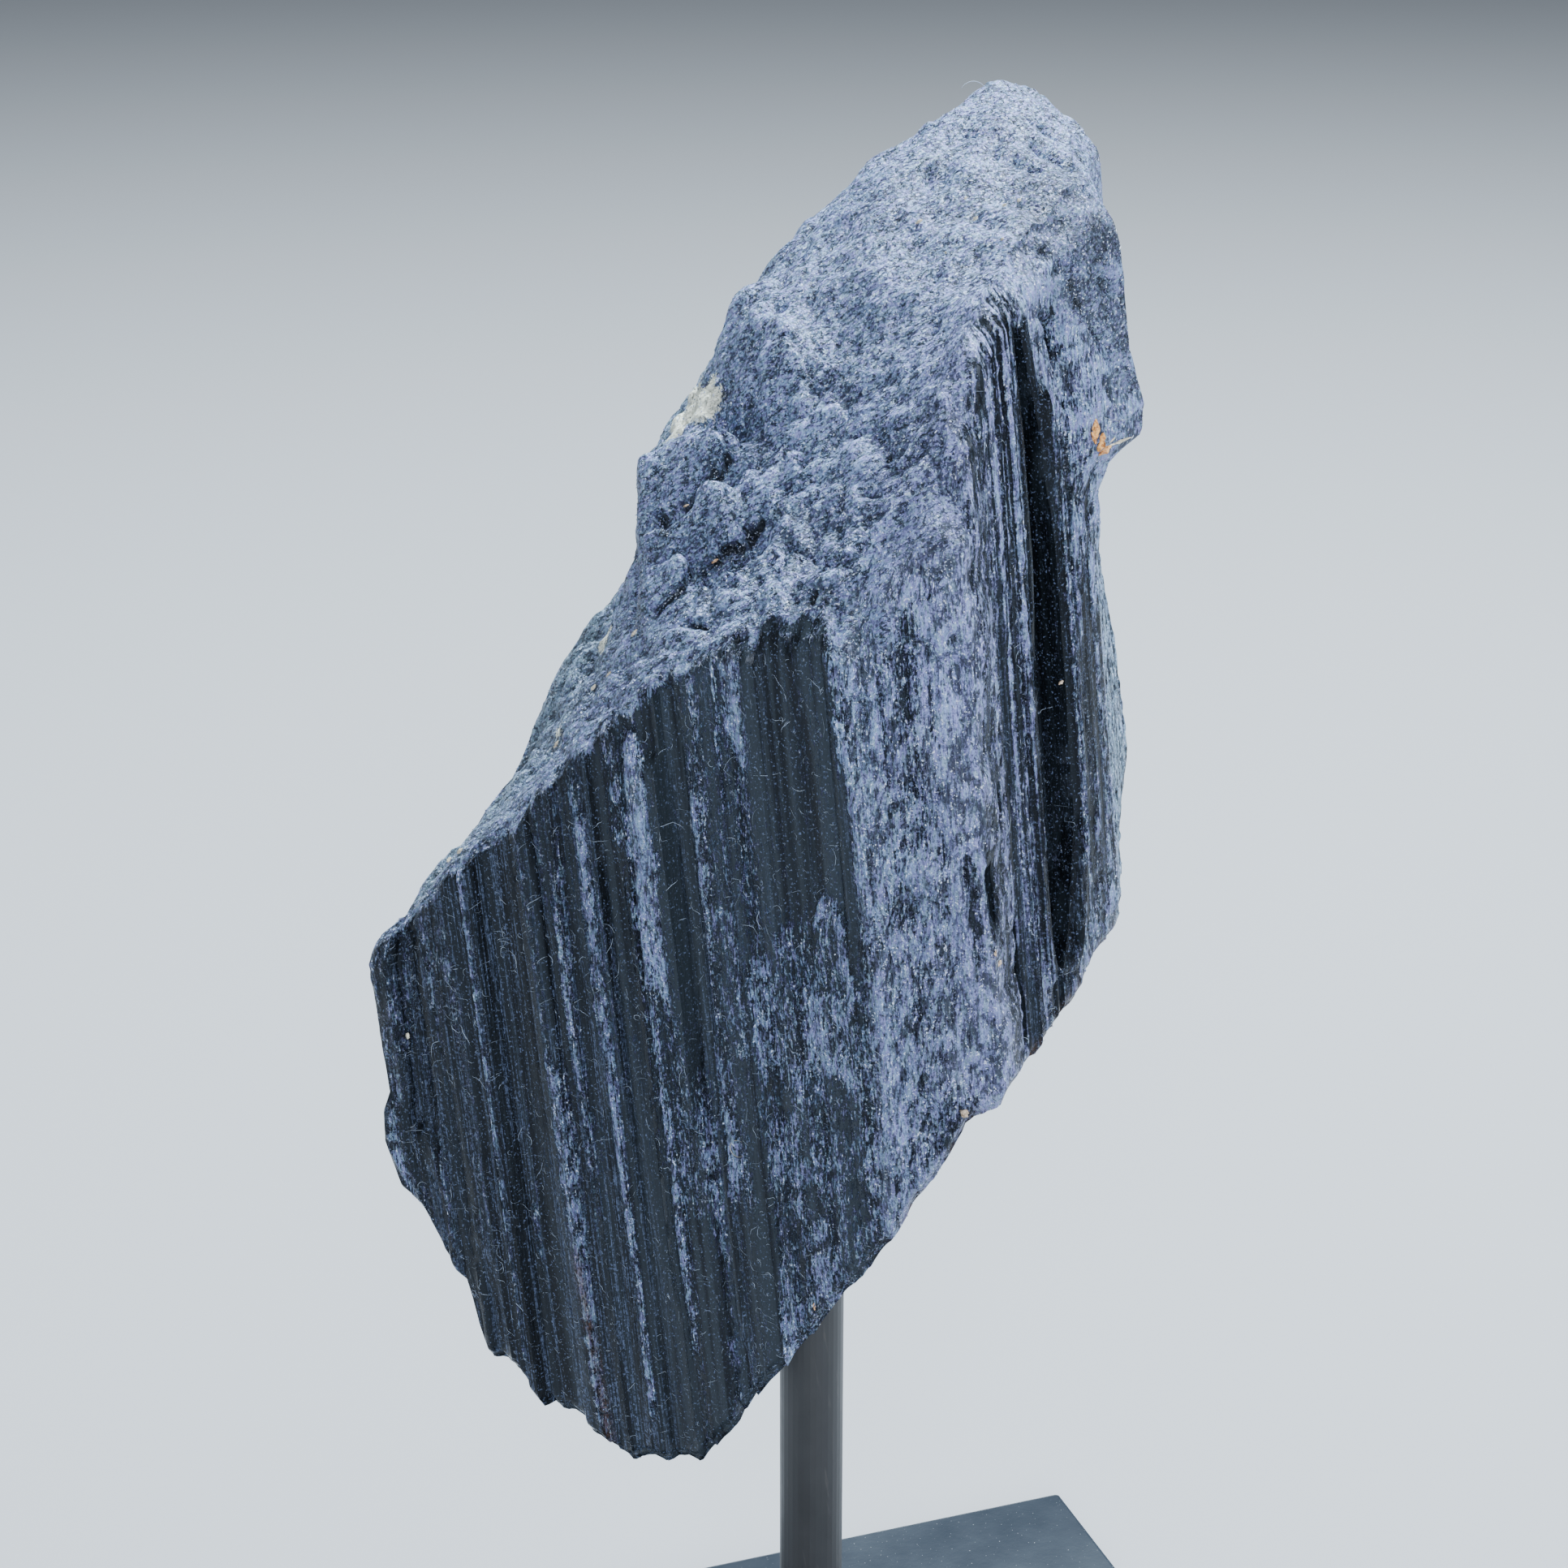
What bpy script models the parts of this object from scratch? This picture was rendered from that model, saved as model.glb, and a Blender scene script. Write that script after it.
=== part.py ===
"""Black tourmaline crystal on a display stand.

A striated prism of black tourmaline, broken aslant at its top and at its foot, is held up by a
round steel post that stands in a square steel plate. Metres, +Z up. The origin is the middle of
the plate's underside, and the plate's edges run along X and Y.

The stone is worked out in its own frame, in millimetres: a runs to the right along its broad
face, b runs back through its depth and c runs up the crystal's long axis.
"""

import math

import bmesh
import bpy
import numpy as np
from mathutils import geometry

MM = 0.001

# The stand, in metres.
PLATE_SIDE = 0.100
PLATE_THICKNESS = 0.005
PLATE_EDGE = 0.0005
POST_DIAMETER = 0.006
POST_FOOT = 0.0013
POST_TOP = 0.098
HOLE_FOOT = 0.038
FIT_GAP = 0.0003
ROUND_SIDES = 32

# How the stone stands, in metres and radians: its frame's origin above the table, the lean of
# its long axis to the left, and its turn about the post.
STONE_HEIGHT = 0.105
STONE_LEAN = math.radians(5.3)
STONE_TURN = math.radians(19.7)

# The prism's cross-section: (a, b) corners, anticlockwise from above, from the thin left end.
CORNERS = np.array(
    (
        (-41.0, 4.0),
        (4.0, -21.0),
        (15.0, -22.0),
        (27.0, -4.0),
        (29.0, 6.0),
        (27.0, 13.0),
        (21.0, 17.5),
        (9.0, 18.5),
        (-3.0, 17.5),
        (-14.0, 13.5),
        (-26.0, 9.5),
        (-36.0, 7.5),
    )
)
LEFT_END, CRUST_CORNER, RIDGE, RIGHT_EDGE, BACK_RIGHT = range(5)

# How far from a corner its two faces' directions start to blend.
CORNER_BLEND = 0.4
WIDE_BLEND = {CRUST_CORNER: 2.0, RIDGE: 4.0, BACK_RIGHT: 2.0}

# Corners that wander along a with the level: corner, then (level c, shift). The shift fades out
# over WANDER_REACH on both sides of the corner.
WANDER_REACH = 6.5
WANDER = {
    LEFT_END: ((-36, 0.5), (-24, 0.6), (-18, -0.6), (-15, -0.3), (-13, 0.6), (0, 0.5), (4, 2.2)),
    RIGHT_EDGE: (
        (-4, -1.0),
        (5, 0.2),
        (34, 0.0),
        (40.5, 0.4),
        (43.2, 1.6),
        (45.2, 4.4),
        (48, 4.7),
        (52, 3.8),
        (61, 3.5),
        (69, 2.0),
    ),
    BACK_RIGHT: (
        (-3, -2.5),
        (2, -1.2),
        (8, -0.5),
        (12.5, 0.4),
        (18, 0.2),
        (23, -0.2),
        (28, -0.9),
        (33, -1.8),
        (40, -2.2),
        (46, 1.5),
        (66, 1.2),
    ),
}

# Ribs and grooves of each striated face: start and end along the face, height (minus for a
# groove), and the lowest and highest level that it reaches.
FRONT_RIBS = (
    (0.0, 2.7, 0.4, -60, 60),
    (2.7, 4.5, -0.9, -17, 4),
    (7.6, 8.6, 0.35, -60, 60),
    (12.0, 13.5, 0.6, -60, 17),
    (13.5, 18.0, -0.5, -60, 24),
    (18.0, 20.3, 0.5, -60, 21),
    (22.6, 23.3, 0.3, -60, 22),
    (26.2, 27.4, 0.6, -60, 24),
    (29.5, 30.6, 0.35, -60, 26),
    (33.0, 34.5, 0.9, -12, 24),
    (34.5, 36.6, -0.6, -60, 30.5),
    (40.2, 41.0, 0.4, -60, 28),
    (44.0, 51.0, -0.35, 3, 35.2),
)
RIGHT_RIBS = (
    (-0.2, 1.2, -0.9, 9, 15.5),
    (2.2, 3.2, -0.8, 17, 21.5),
    (4.1, 5.2, -1.2, -4, 9),
    (6.4, 7.2, 0.5, -6, 58),
    (8.6, 9.6, 0.5, 0, 60),
    (11.0, 15.0, -2.0, 0.5, 58),
    (11.0, 12.2, -1.0, 1, 24),
    (15.3, 16.4, 0.5, 0, 52),
    (17.2, 18.3, -0.8, 30, 57),
)
BACK_RIBS = (
    (10.8, 13.4, 0.6, -60, 60),
    (19.0, 23.0, -0.9, 5, 58),
    (25.0, 26.5, 0.5, -60, 56),
    (30.0, 33.0, 0.5, -60, 52),
    (36.0, 40.0, -0.8, -60, 38),
    (44.5, 47.0, 0.6, -60, 44),
    (52.0, 57.0, -0.7, -60, 30),
    (62.0, 64.5, 0.5, -60, 22),
)
RIB_EDGE = 0.3
RIB_FADE = 1.5
RIB_OVERRUN = 2.4

# The right face's deep flat trench narrows upwards, and the ribs beside it follow its sides:
# (level, left side, right side) along the face, for the sides that the ribs above call 11 and 15.
TRENCH_SIDES = (11.0, 15.0)
TRENCH = (
    (0.5, 11.4, 11.9),
    (4.0, 10.8, 13.2),
    (14.0, 10.8, 15.2),
    (28.0, 10.8, 15.1),
    (38.0, 11.4, 15.0),
    (48.0, 11.3, 13.8),
    (57.5, 10.6, 11.8),
)

# The granular crust stands proud beside the smooth front face.
CRUST_HEIGHT = 0.7
CRUST_START, CRUST_END = 51.6, 68.0
CRUST_EDGE, CRUST_FADE = 0.8, 4.5

# How gently each face turns over into the top: (distance round the outline, radius).
TURN_OVER = ((0, 0.6), (40, 0.9), (50, 2.0), (56, 3.8), (63, 3.2), (68, 1.6), (84, 1.8), (92, 1.2))
TURN_DEPTH = 2.4
FOOT_TURN = 0.8
FOOT_TURN_DEPTH = 2.0

# Low lumps of the broken and granular surfaces.
LUMP_HEIGHT = 0.6
LUMP_CELL = 3.6
LUMP_SEED = 11

# The break across the top: points (a, b, c) on it, first round its edge from the left end.
TOP_POINTS = (
    (-41.0, 5.0, 1.5),
    (-38.3, 4.0, 3.4),
    (-30.8, 1.0, 11.5),
    (-24.2, -3.0, 17.0),
    (-17.3, -9.0, 24.0),
    (-10.9, -12.5, 30.9),
    (-1.0, -18.0, 35.3),
    (3.6, -20.7, 35.8),
    (9.8, -21.0, 41.0),
    (15.3, -21.0, 50.0),
    (17.7, -18.0, 58.6),
    (20.8, -13.0, 62.0),
    (25.4, -6.0, 65.4),
    (29.2, 2.0, 68.8),
    (26.2, 8.0, 71.6),
    (23.7, 11.0, 72.9),
    (19.7, 15.0, 69.6),
    (27.0, 13.0, 68.0),
    (21.0, 17.5, 67.4),
    (10.2, 17.0, 65.0),
    (3.6, 17.0, 59.8),
    (-1.9, 16.0, 54.0),
    (-6.7, 16.0, 46.7),
    (-10.0, 14.0, 43.4),
    (-19.7, 9.0, 26.0),
    (-24.9, 6.0, 16.1),
    (-31.6, 6.0, 9.6),
)
TOP_SMOOTHING = 0.4

# The folded lobes end at the left in a toe, a step down: (b, height of the step).
TOE_LINE = -11.6
TOE_WIDTH = 1.2
TOE_STEP = ((-8.5, 0.0), (-5, 1.8), (3, 5.5), (10, 8.5), (16, 9.0))

# Folds, crevices and pits of the top: (a, b) of their two ends, half width, height.
TOP_FOLDS = (
    (-11.5, 4.6, -4.5, -2.0, 2.0, 3.6),
    (-11.5, 0.9, -3.0, -4.2, 1.1, -4.2),
    (-10.6, -1.1, -4.0, -6.0, 1.5, 2.8),
    (-11.5, -2.5, -6.0, -6.7, 0.9, -2.8),
    (-10.8, -4.4, -6.6, -7.8, 1.4, 2.4),
    (-6.4, -8.2, -0.5, -10.0, 1.0, -3.0),
    (-1.5, 8.0, 1.8, -1.4, 2.2, 3.0),
    (-4.2, 2.6, 1.4, -4.4, 1.2, -2.8),
    (9.0, 12.0, 18.0, 11.0, 3.2, -1.4),
    (28.6, 6.0, 27.0, 13.0, 1.6, -1.1),
    (15.2, 1.6, 16.8, 0.4, 0.9, -1.0),
    (15.9, -18.6, 16.0, -17.9, 0.7, -1.6),
)

# The break across the foot: its level along the front, as (a, c), and how it rises to the back.
FOOT_EDGE = (
    (-42.0, -14.0),
    (-41.2, -17.0),
    (-40.0, -23.5),
    (-35.0, -32.0),
    (-34.2, -38.5),
    (-27.0, -45.6),
    (-22.0, -47.6),
    (-14.6, -46.4),
    (-12.0, -43.5),
    (1.4, -24.2),
    (12.7, -7.8),
    (19.6, -4.6),
    (26.0, -0.4),
    (30.0, 5.0),
)
FOOT_RISE = 0.12
FOOT_CELL = 2.6
FOOT_SEED = 7

# How ragged the foot is, from its tattered left end to its cleaner right end: (a, height).
FOOT_RAGGED = ((-20.0, 1.7), (-10.0, 0.5), (30.0, 0.4))

# Mesh density, in millimetres.
FRONT_STEP, CRUST_STEP, RIGHT_STEP, CORNER_STEP, BACK_STEP = 1.4, 1.3, 1.3, 1.8, 3.6
CLOSEST_COLUMNS = 0.18
TOP_STEP, FOOT_STEP = 1.15, 1.7
WALL_ROWS = 20
CLOSER_ENDS = 0.08
CAP_SEED = 3
CAP_JITTER = 0.25

FACE_LENGTHS = np.linalg.norm(np.roll(CORNERS, -1, axis=0) - CORNERS, axis=1)
FACE_STARTS = np.concatenate(((0.0,), np.cumsum(FACE_LENGTHS)))
AROUND = FACE_STARTS[-1]
FRONT_START, CRUST_FACE, RIGHT_START, BACK_START = FACE_STARTS[:4]
BACK_LEFT_START = FACE_STARTS[7]
RIBBED_FACES = (
    (FRONT_START, FRONT_RIBS),
    (RIGHT_START, RIGHT_RIBS),
    (BACK_START, BACK_RIBS),
)


def smooth_step(value):
    """0 below 0, 1 above 1 and a smooth ramp between."""
    value = np.clip(value, 0.0, 1.0)
    return value * value * (3 - 2 * value)


def lattice_noise(points, seed):
    """Smooth noise from -1 to 1 at each row of points, from random values on a unit lattice."""
    values = np.random.default_rng(seed).uniform(-1, 1, 4096)
    cell = np.floor(points).astype(np.int64)
    part = points - cell
    part = part * part * (3 - 2 * part)
    total = np.zeros(len(points))
    for corner in np.ndindex(2, 2, 2):
        index = cell + corner
        key = index[:, 0] * 73856093 ^ index[:, 1] * 19349663 ^ index[:, 2] * 83492791
        weight = np.prod(np.where(corner, part, 1 - part), axis=1)
        total += weight * values[key & 4095]
    return total


def lumps(across, up):
    """Low rounded lumps over a broken or granular surface."""
    points = np.column_stack((across, up, np.zeros_like(across))) / LUMP_CELL
    return LUMP_HEIGHT * lattice_noise(points, LUMP_SEED)


def around_table(values):
    """A value given at each corner, closed so that it can be interpolated all the way round."""
    return np.append(values, values[0])


def section(along, level):
    """(a, b) of the plain outline at distances round it, at levels along the axis."""
    a = np.interp(along, FACE_STARTS, around_table(CORNERS[:, 0]))
    b = np.interp(along, FACE_STARTS, around_table(CORNERS[:, 1]))
    for corner, shifts in WANDER.items():
        levels, amounts = np.array(shifts).T
        away = np.abs((along - FACE_STARTS[corner] + AROUND / 2) % AROUND - AROUND / 2)
        weight = np.clip(1 - away / WANDER_REACH, 0, 1)
        a = a + weight * np.interp(level, levels, amounts)
    return a, b


def outward(along):
    """The outline's outward direction in (a, b), turning over a short stretch at each corner."""
    edges = np.roll(CORNERS, -1, axis=0) - CORNERS
    normals = np.column_stack((edges[:, 1], -edges[:, 0])) / FACE_LENGTHS[:, None]
    places, turned = [], []
    for face, normal in enumerate(normals):
        after = WIDE_BLEND.get(face, CORNER_BLEND)
        before = WIDE_BLEND.get(face + 1, CORNER_BLEND)
        places += [FACE_STARTS[face] + after, FACE_STARTS[face + 1] - before]
        turned += [normal, normal]
    turned = np.array(turned)
    na = np.interp(along, places, turned[:, 0], period=AROUND)
    nb = np.interp(along, places, turned[:, 1], period=AROUND)
    length = np.hypot(na, nb)
    return na / length, nb / length


def strip(along, level, start, end, low, high):
    """1 inside a strip of a face and 0 outside it, with soft edges."""
    across = smooth_step((along - start) / RIB_EDGE) * smooth_step((end - along) / RIB_EDGE)
    return across * smooth_step((level - low) / RIB_FADE) * smooth_step((high - level) / RIB_FADE)


def relief(along, level, below_top):
    """How far the faces stand out from the plain outline: ribs, grooves, trench and crust."""
    height = np.zeros_like(along)
    for face_start, ribs in RIBBED_FACES:
        for start, end, rib_height, low, high in ribs:
            inside = strip(along, level, face_start + start, face_start + end, low, high)
            height += rib_height * inside
    height *= smooth_step((below_top + RIB_OVERRUN) / RIB_FADE - top_turn(along))
    crust = smooth_step((along - CRUST_START) / CRUST_EDGE)
    crust *= smooth_step((CRUST_END - along) / CRUST_FADE)
    return height + (CRUST_HEIGHT + lumps(along, level)) * crust


def beside_trench(along, level):
    """Where the right face's columns really lie, so that they follow the trench's sides."""
    levels, left, right = np.array(TRENCH).T
    left, right = np.interp(level, levels, left), np.interp(level, levels, right)
    place = along - RIGHT_START
    length = FACE_LENGTHS[2]
    low, high = TRENCH_SIDES
    before = place * left / low
    within = left + (place - low) * (right - left) / (high - low)
    after = right + (place - high) * (length - right) / (length - high)
    moved = np.where(place < low, before, np.where(place < high, within, after))
    return np.where((place > 0) & (place < length), RIGHT_START + moved, along)


def top_turn(along):
    """The radius with which a face turns over into the top."""
    return np.interp(along, *np.array(TURN_OVER, float).T)


def turn_over(along, below_top, above_foot):
    """How far a face is drawn in near its top and bottom edges."""
    radius = top_turn(along)
    top = radius * (1 - smooth_step(below_top / (TURN_DEPTH * radius))) ** 2
    foot = FOOT_TURN * (1 - smooth_step(above_foot / FOOT_TURN_DEPTH)) ** 2
    return top + foot


def thin_plate(points):
    """A smooth surface c(a, b) through hand-placed points, as a function of arrays a and b."""
    a, b, c = np.array(points, float).T

    def kernel(da, db):
        squared = da * da + db * db
        return squared * np.log(squared + 1e-9)

    count = len(a)
    system = np.zeros((count + 3, count + 3))
    system[:count, :count] = kernel(a[:, None] - a, b[:, None] - b)
    system[:count, :count] += TOP_SMOOTHING * count * np.eye(count)
    flat = np.column_stack((np.ones(count), a, b))
    system[:count, count:] = flat
    system[count:, :count] = flat.T
    weights = np.linalg.solve(system, np.append(c, np.zeros(3)))

    def surface(at_a, at_b):
        bent = kernel(at_a[..., None] - a, at_b[..., None] - b) @ weights[:count]
        return bent + weights[count] + weights[count + 1] * at_a + weights[count + 2] * at_b

    return surface


def toe_step(a, b):
    """The lobes' step down at their left end."""
    places, heights = np.array(TOE_STEP).T
    return np.interp(b, places, heights) * smooth_step((a - TOE_LINE) / TOE_WIDTH + 0.5)


def fold(a, b, start_a, start_b, end_a, end_b, half_width, height):
    """A long rounded ridge, or a crevice where the height is minus, between two points."""
    run = np.array((end_a - start_a, end_b - start_b))
    along = ((a - start_a) * run[0] + (b - start_b) * run[1]) / (run @ run)
    near = np.clip(along, 0, 1)
    away = np.hypot(a - start_a - near * run[0], b - start_b - near * run[1])
    return height * np.exp(-((away / half_width) ** 2))


def plain_top():
    a, b, c = np.array(TOP_POINTS, float).T
    return thin_plate(np.column_stack((a, b, c - toe_step(a, b))))


PLAIN_TOP = plain_top()


def top_level(a, b):
    """The level of the break across the top."""
    level = PLAIN_TOP(a, b) + toe_step(a, b) + lumps(a, b)
    for shape in TOP_FOLDS:
        level = level + fold(a, b, *shape)
    return level


def foot_level(a, b):
    """The level of the break across the foot, with its ragged ends of columns."""
    places, levels = np.array(FOOT_EDGE).T
    front_b = np.interp(a, CORNERS[:4, 0], CORNERS[:4, 1])
    points = np.column_stack((a / FOOT_CELL, b / FOOT_CELL, np.zeros_like(a)))
    ragged = np.interp(a, *np.array(FOOT_RAGGED).T) * lattice_noise(points, FOOT_SEED)
    return np.interp(a, places, levels) + FOOT_RISE * (b - front_b) + ragged


def face_points(along, level, below_top, above_foot):
    """(a, b) of the finished faces."""
    place = beside_trench(along, level)
    a, b = section(place, level)
    out = relief(along, level, below_top) - turn_over(along, below_top, above_foot)
    na, nb = outward(place)
    return a + out * na, b + out * nb


def edge_of(along, surface, top):
    """Where each column meets a break: its level, found by stepping along the column."""
    level = surface(*section(along, np.zeros_like(along)))
    far = np.full_like(along, 100.0)
    near = np.zeros_like(along)
    for _ in range(6):
        below_top, above_foot = (near, far) if top else (far, near)
        level = surface(*face_points(along, level, below_top, above_foot))
    return level


def column_places():
    """Distances round the outline at which a column of the wall mesh stands."""
    stretches = (
        (FRONT_START, CRUST_FACE, FRONT_STEP),
        (CRUST_FACE, RIGHT_START, CRUST_STEP),
        (RIGHT_START, BACK_START, RIGHT_STEP),
        (BACK_START, BACK_LEFT_START, CORNER_STEP),
        (BACK_LEFT_START, AROUND, BACK_STEP),
    )
    places = [
        np.linspace(start, end, round((end - start) / step), endpoint=False)
        for start, end, step in stretches
    ]
    for face_start, ribs in RIBBED_FACES:
        sides = np.array([rib[:2] for rib in ribs])
        corners = sides + np.array(((RIB_EDGE, -RIB_EDGE),))
        places += [face_start + sides.ravel(), face_start + corners.ravel()]
    places = np.sort(np.concatenate(places) % AROUND)
    return places[np.append(True, np.diff(places) > CLOSEST_COLUMNS)]


def inside_loop(points, loop, margin):
    """Which points lie inside a closed loop and at least the margin away from it."""
    start, end = loop, np.roll(loop, -1, axis=0)
    run = end - start
    offset = points[:, None] - start
    along = np.clip((offset * run).sum(axis=2) / (run * run).sum(axis=1), 0, 1)
    away = np.linalg.norm(offset - along[..., None] * run, axis=2).min(axis=1)
    above = (start[:, 1] > points[:, None, 1]) != (end[:, 1] > points[:, None, 1])
    slope = run[:, 0] / np.where(run[:, 1] == 0, 1e-9, run[:, 1])
    crossing = points[:, None, 0] < start[:, 0] + (points[:, None, 1] - start[:, 1]) * slope
    return ((above & crossing).sum(axis=1) % 2 == 1) & (away > margin)


def cap(loop, step, seed):
    """Triangles that fill a loop of (a, b) points: the points added inside it, and the faces."""
    low, high = loop.min(axis=0), loop.max(axis=0)
    rows = np.arange(low[1], high[1], step * math.sqrt(3) / 2)
    grid = [
        (a + (row % 2) * step / 2, b)
        for row, b in enumerate(rows)
        for a in np.arange(low[0], high[0], step)
    ]
    jitter = np.random.default_rng(seed).uniform(-CAP_JITTER, CAP_JITTER, (len(grid), 2))
    grid = np.array(grid) + jitter * step
    inner = grid[inside_loop(grid, loop, 0.45 * step)]
    points = [tuple(point) for point in np.vstack((loop, inner))]
    outline = [list(range(len(loop)))]
    found = geometry.delaunay_2d_cdt(points, [], outline, 1, 1e-7)
    came_from = [sources[0] for sources in found[3]]
    return inner, [[came_from[corner] for corner in face] for face in found[2]]


def tourmaline_mesh():
    along = column_places()
    top, foot = edge_of(along, top_level, True), edge_of(along, foot_level, False)
    points = []
    for share in np.linspace(0, 1, WALL_ROWS):
        share -= CLOSER_ENDS * math.sin(2 * math.pi * share)
        level = foot + share * (top - foot)
        a, b = face_points(along, level, top - level, level - foot)
        points.append(np.column_stack((a, b, level)))
    count = len(along)
    faces = []
    for row in range(WALL_ROWS - 1):
        for column in range(count):
            beside = (column + 1) % count
            low, high = row * count, (row + 1) * count
            faces.append((low + column, low + beside, high + beside, high + column))
    total = WALL_ROWS * count
    breaks = ((WALL_ROWS - 1, top_level, TOP_STEP, 1), (0, foot_level, FOOT_STEP, -1))
    for row, surface, step, flip in breaks:
        loop = points[row][:, :2]
        inner, triangles = cap(loop, step, CAP_SEED)
        points.append(np.column_stack((inner, surface(inner[:, 0], inner[:, 1]))))
        shift = np.concatenate((row * count + np.arange(count), total + np.arange(len(inner))))
        faces += [tuple(shift[corner] for corner in triangle[::flip]) for triangle in triangles]
        total += len(inner)
    mesh = bpy.data.meshes.new("tourmaline")
    mesh.from_pydata(np.vstack(points) * MM, [], [tuple(map(int, face)) for face in faces])
    mesh.validate()
    return mesh


def material(name, colour, roughness, metallic):
    made = bpy.data.materials.new(name)
    made.use_nodes = True
    shader = made.node_tree.nodes["Principled BSDF"]
    shader.inputs["Base Color"].default_value = (*colour, 1.0)
    shader.inputs["Roughness"].default_value = roughness
    shader.inputs["Metallic"].default_value = metallic
    return made


def add_object(name, mesh, collection):
    made = bpy.data.objects.new(name, mesh)
    collection.objects.link(made)
    return made


def rod_mesh(name, radius, length, sides=ROUND_SIDES):
    """An upright cylinder that stands on its own origin."""
    form = bmesh.new()
    bmesh.ops.create_cone(
        form, cap_ends=True, segments=sides, radius1=radius, radius2=radius, depth=length
    )
    bmesh.ops.translate(form, vec=(0, 0, length / 2), verts=form.verts)
    mesh = bpy.data.meshes.new(name)
    form.to_mesh(mesh)
    form.free()
    mesh.shade_smooth()
    mesh.set_sharp_from_angle(angle=math.radians(40))
    return mesh


def plate_mesh():
    form = bmesh.new()
    bmesh.ops.create_cube(form, size=1.0)
    bmesh.ops.scale(form, vec=(PLATE_SIDE, PLATE_SIDE, PLATE_THICKNESS), verts=form.verts)
    bmesh.ops.translate(form, vec=(0, 0, PLATE_THICKNESS / 2), verts=form.verts)
    mesh = bpy.data.meshes.new("base_plate")
    form.to_mesh(mesh)
    form.free()
    return mesh


def drill(target, cutter):
    cutter.hide_render = True
    cutter.display_type = "WIRE"
    cut = target.modifiers.new("drilled_hole", "BOOLEAN")
    cut.operation = "DIFFERENCE"
    cut.solver = "EXACT"
    cut.object = cutter


def add_hole(name, foot, length, cutters):
    radius = POST_DIAMETER / 2 + FIT_GAP
    cutter = add_object(name, rod_mesh(name, radius, length), cutters)
    cutter.location.z = foot
    return cutter


def build():
    for old in list(bpy.data.objects):
        bpy.data.objects.remove(old, do_unlink=True)
    parts = bpy.data.collections.new("black_tourmaline_on_stand")
    cutters = bpy.data.collections.new("cutters")
    bpy.context.scene.collection.children.link(parts)
    bpy.context.scene.collection.children.link(cutters)
    cutters.hide_render = True

    plate = add_object("base_plate", plate_mesh(), parts)
    plate.data.materials.append(material("black_painted_plate", (0.012, 0.013, 0.015), 0.45, 0.0))
    socket = add_hole("plate_socket", POST_FOOT - FIT_GAP, PLATE_THICKNESS, cutters)
    edge = plate.modifiers.new("eased_edges", "BEVEL")
    edge.width = PLATE_EDGE
    edge.segments = 2
    drill(plate, socket)

    post = add_object("post", rod_mesh("post", POST_DIAMETER / 2, POST_TOP - POST_FOOT), parts)
    post.location.z = POST_FOOT
    post.data.materials.append(material("dark_painted_rod", (0.020, 0.018, 0.018), 0.4, 0.0))

    stone = add_object("tourmaline", tourmaline_mesh(), parts)
    stone.location = (0, 0, STONE_HEIGHT)
    stone.rotation_euler = (0, -STONE_LEAN, -STONE_TURN)
    stone.data.materials.append(material("black_tourmaline", (0.018, 0.021, 0.030), 0.35, 0.0))
    stone.data.shade_smooth()
    stone.data.set_sharp_from_angle(angle=math.radians(30))
    length = POST_TOP + FIT_GAP - HOLE_FOOT
    drill(stone, add_hole("post_hole", HOLE_FOOT, length, cutters))


build()
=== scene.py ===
"""Looks of the black tourmaline crystal on its stand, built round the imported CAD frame.

The stone is worked out in its own frame, in millimetres: a runs to the right along its broad
face, b runs back through its depth and c runs up the crystal's long axis. The functions and
numbers that shape it are the part's own, repeated here with finer detail on top.
"""

import math
from types import SimpleNamespace

import bpy
import numpy as np
from mathutils import Euler, Matrix, Vector, geometry


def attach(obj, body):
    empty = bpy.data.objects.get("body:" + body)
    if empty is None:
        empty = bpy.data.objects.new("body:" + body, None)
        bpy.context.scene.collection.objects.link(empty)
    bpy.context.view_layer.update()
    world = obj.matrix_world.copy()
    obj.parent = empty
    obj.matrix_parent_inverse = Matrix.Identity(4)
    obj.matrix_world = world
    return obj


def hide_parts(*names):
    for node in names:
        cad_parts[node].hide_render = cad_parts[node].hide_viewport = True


MM = 0.001
PER_MM = 1000.0

# How the stone stands, in metres and radians.
STONE_HEIGHT = 0.105
STONE_LEAN = math.radians(5.3)
STONE_TURN = math.radians(19.7)
STONE_PLACE = Vector((0, 0, STONE_HEIGHT))
STONE_FRAME = Matrix.LocRotScale(STONE_PLACE, Euler((0, -STONE_LEAN, -STONE_TURN)), None)
STONE_AXES = np.array(STONE_FRAME.to_3x3())
STONE_ORIGIN = np.array(STONE_FRAME.translation)

# The post in its bore, and how many sides the bore has.
POST_RADIUS, POST_TOP, FIT_GAP, POST_SIDES = 3.0, 98.0, 0.3, 40

# The prism's cross-section: (a, b) corners, anticlockwise from above, from the thin left end.
CORNERS = np.array((
    (-41, 4), (4, -21), (15, -22), (27, -4), (29, 6), (27, 13),
    (21, 17.5), (9, 18.5), (-3, 17.5), (-14, 13.5), (-26, 9.5), (-36, 7.5),
))
LEFT_END, CRUST_CORNER, RIDGE, RIGHT_EDGE, BACK_RIGHT = range(5)
CORNER_BLEND = 0.4
WIDE_BLEND = {CRUST_CORNER: 2.0, RIDGE: 4.0, BACK_RIGHT: 2.0}
FACE_LENGTHS = np.linalg.norm(np.roll(CORNERS, -1, axis=0) - CORNERS, axis=1)
FACE_STARTS = np.concatenate(((0.0,), np.cumsum(FACE_LENGTHS)))
AROUND = FACE_STARTS[-1]
FRONT_START, CRUST_FACE, RIGHT_START, BACK_START = FACE_STARTS[:4]
BACK_LEFT_START = FACE_STARTS[7]

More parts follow.
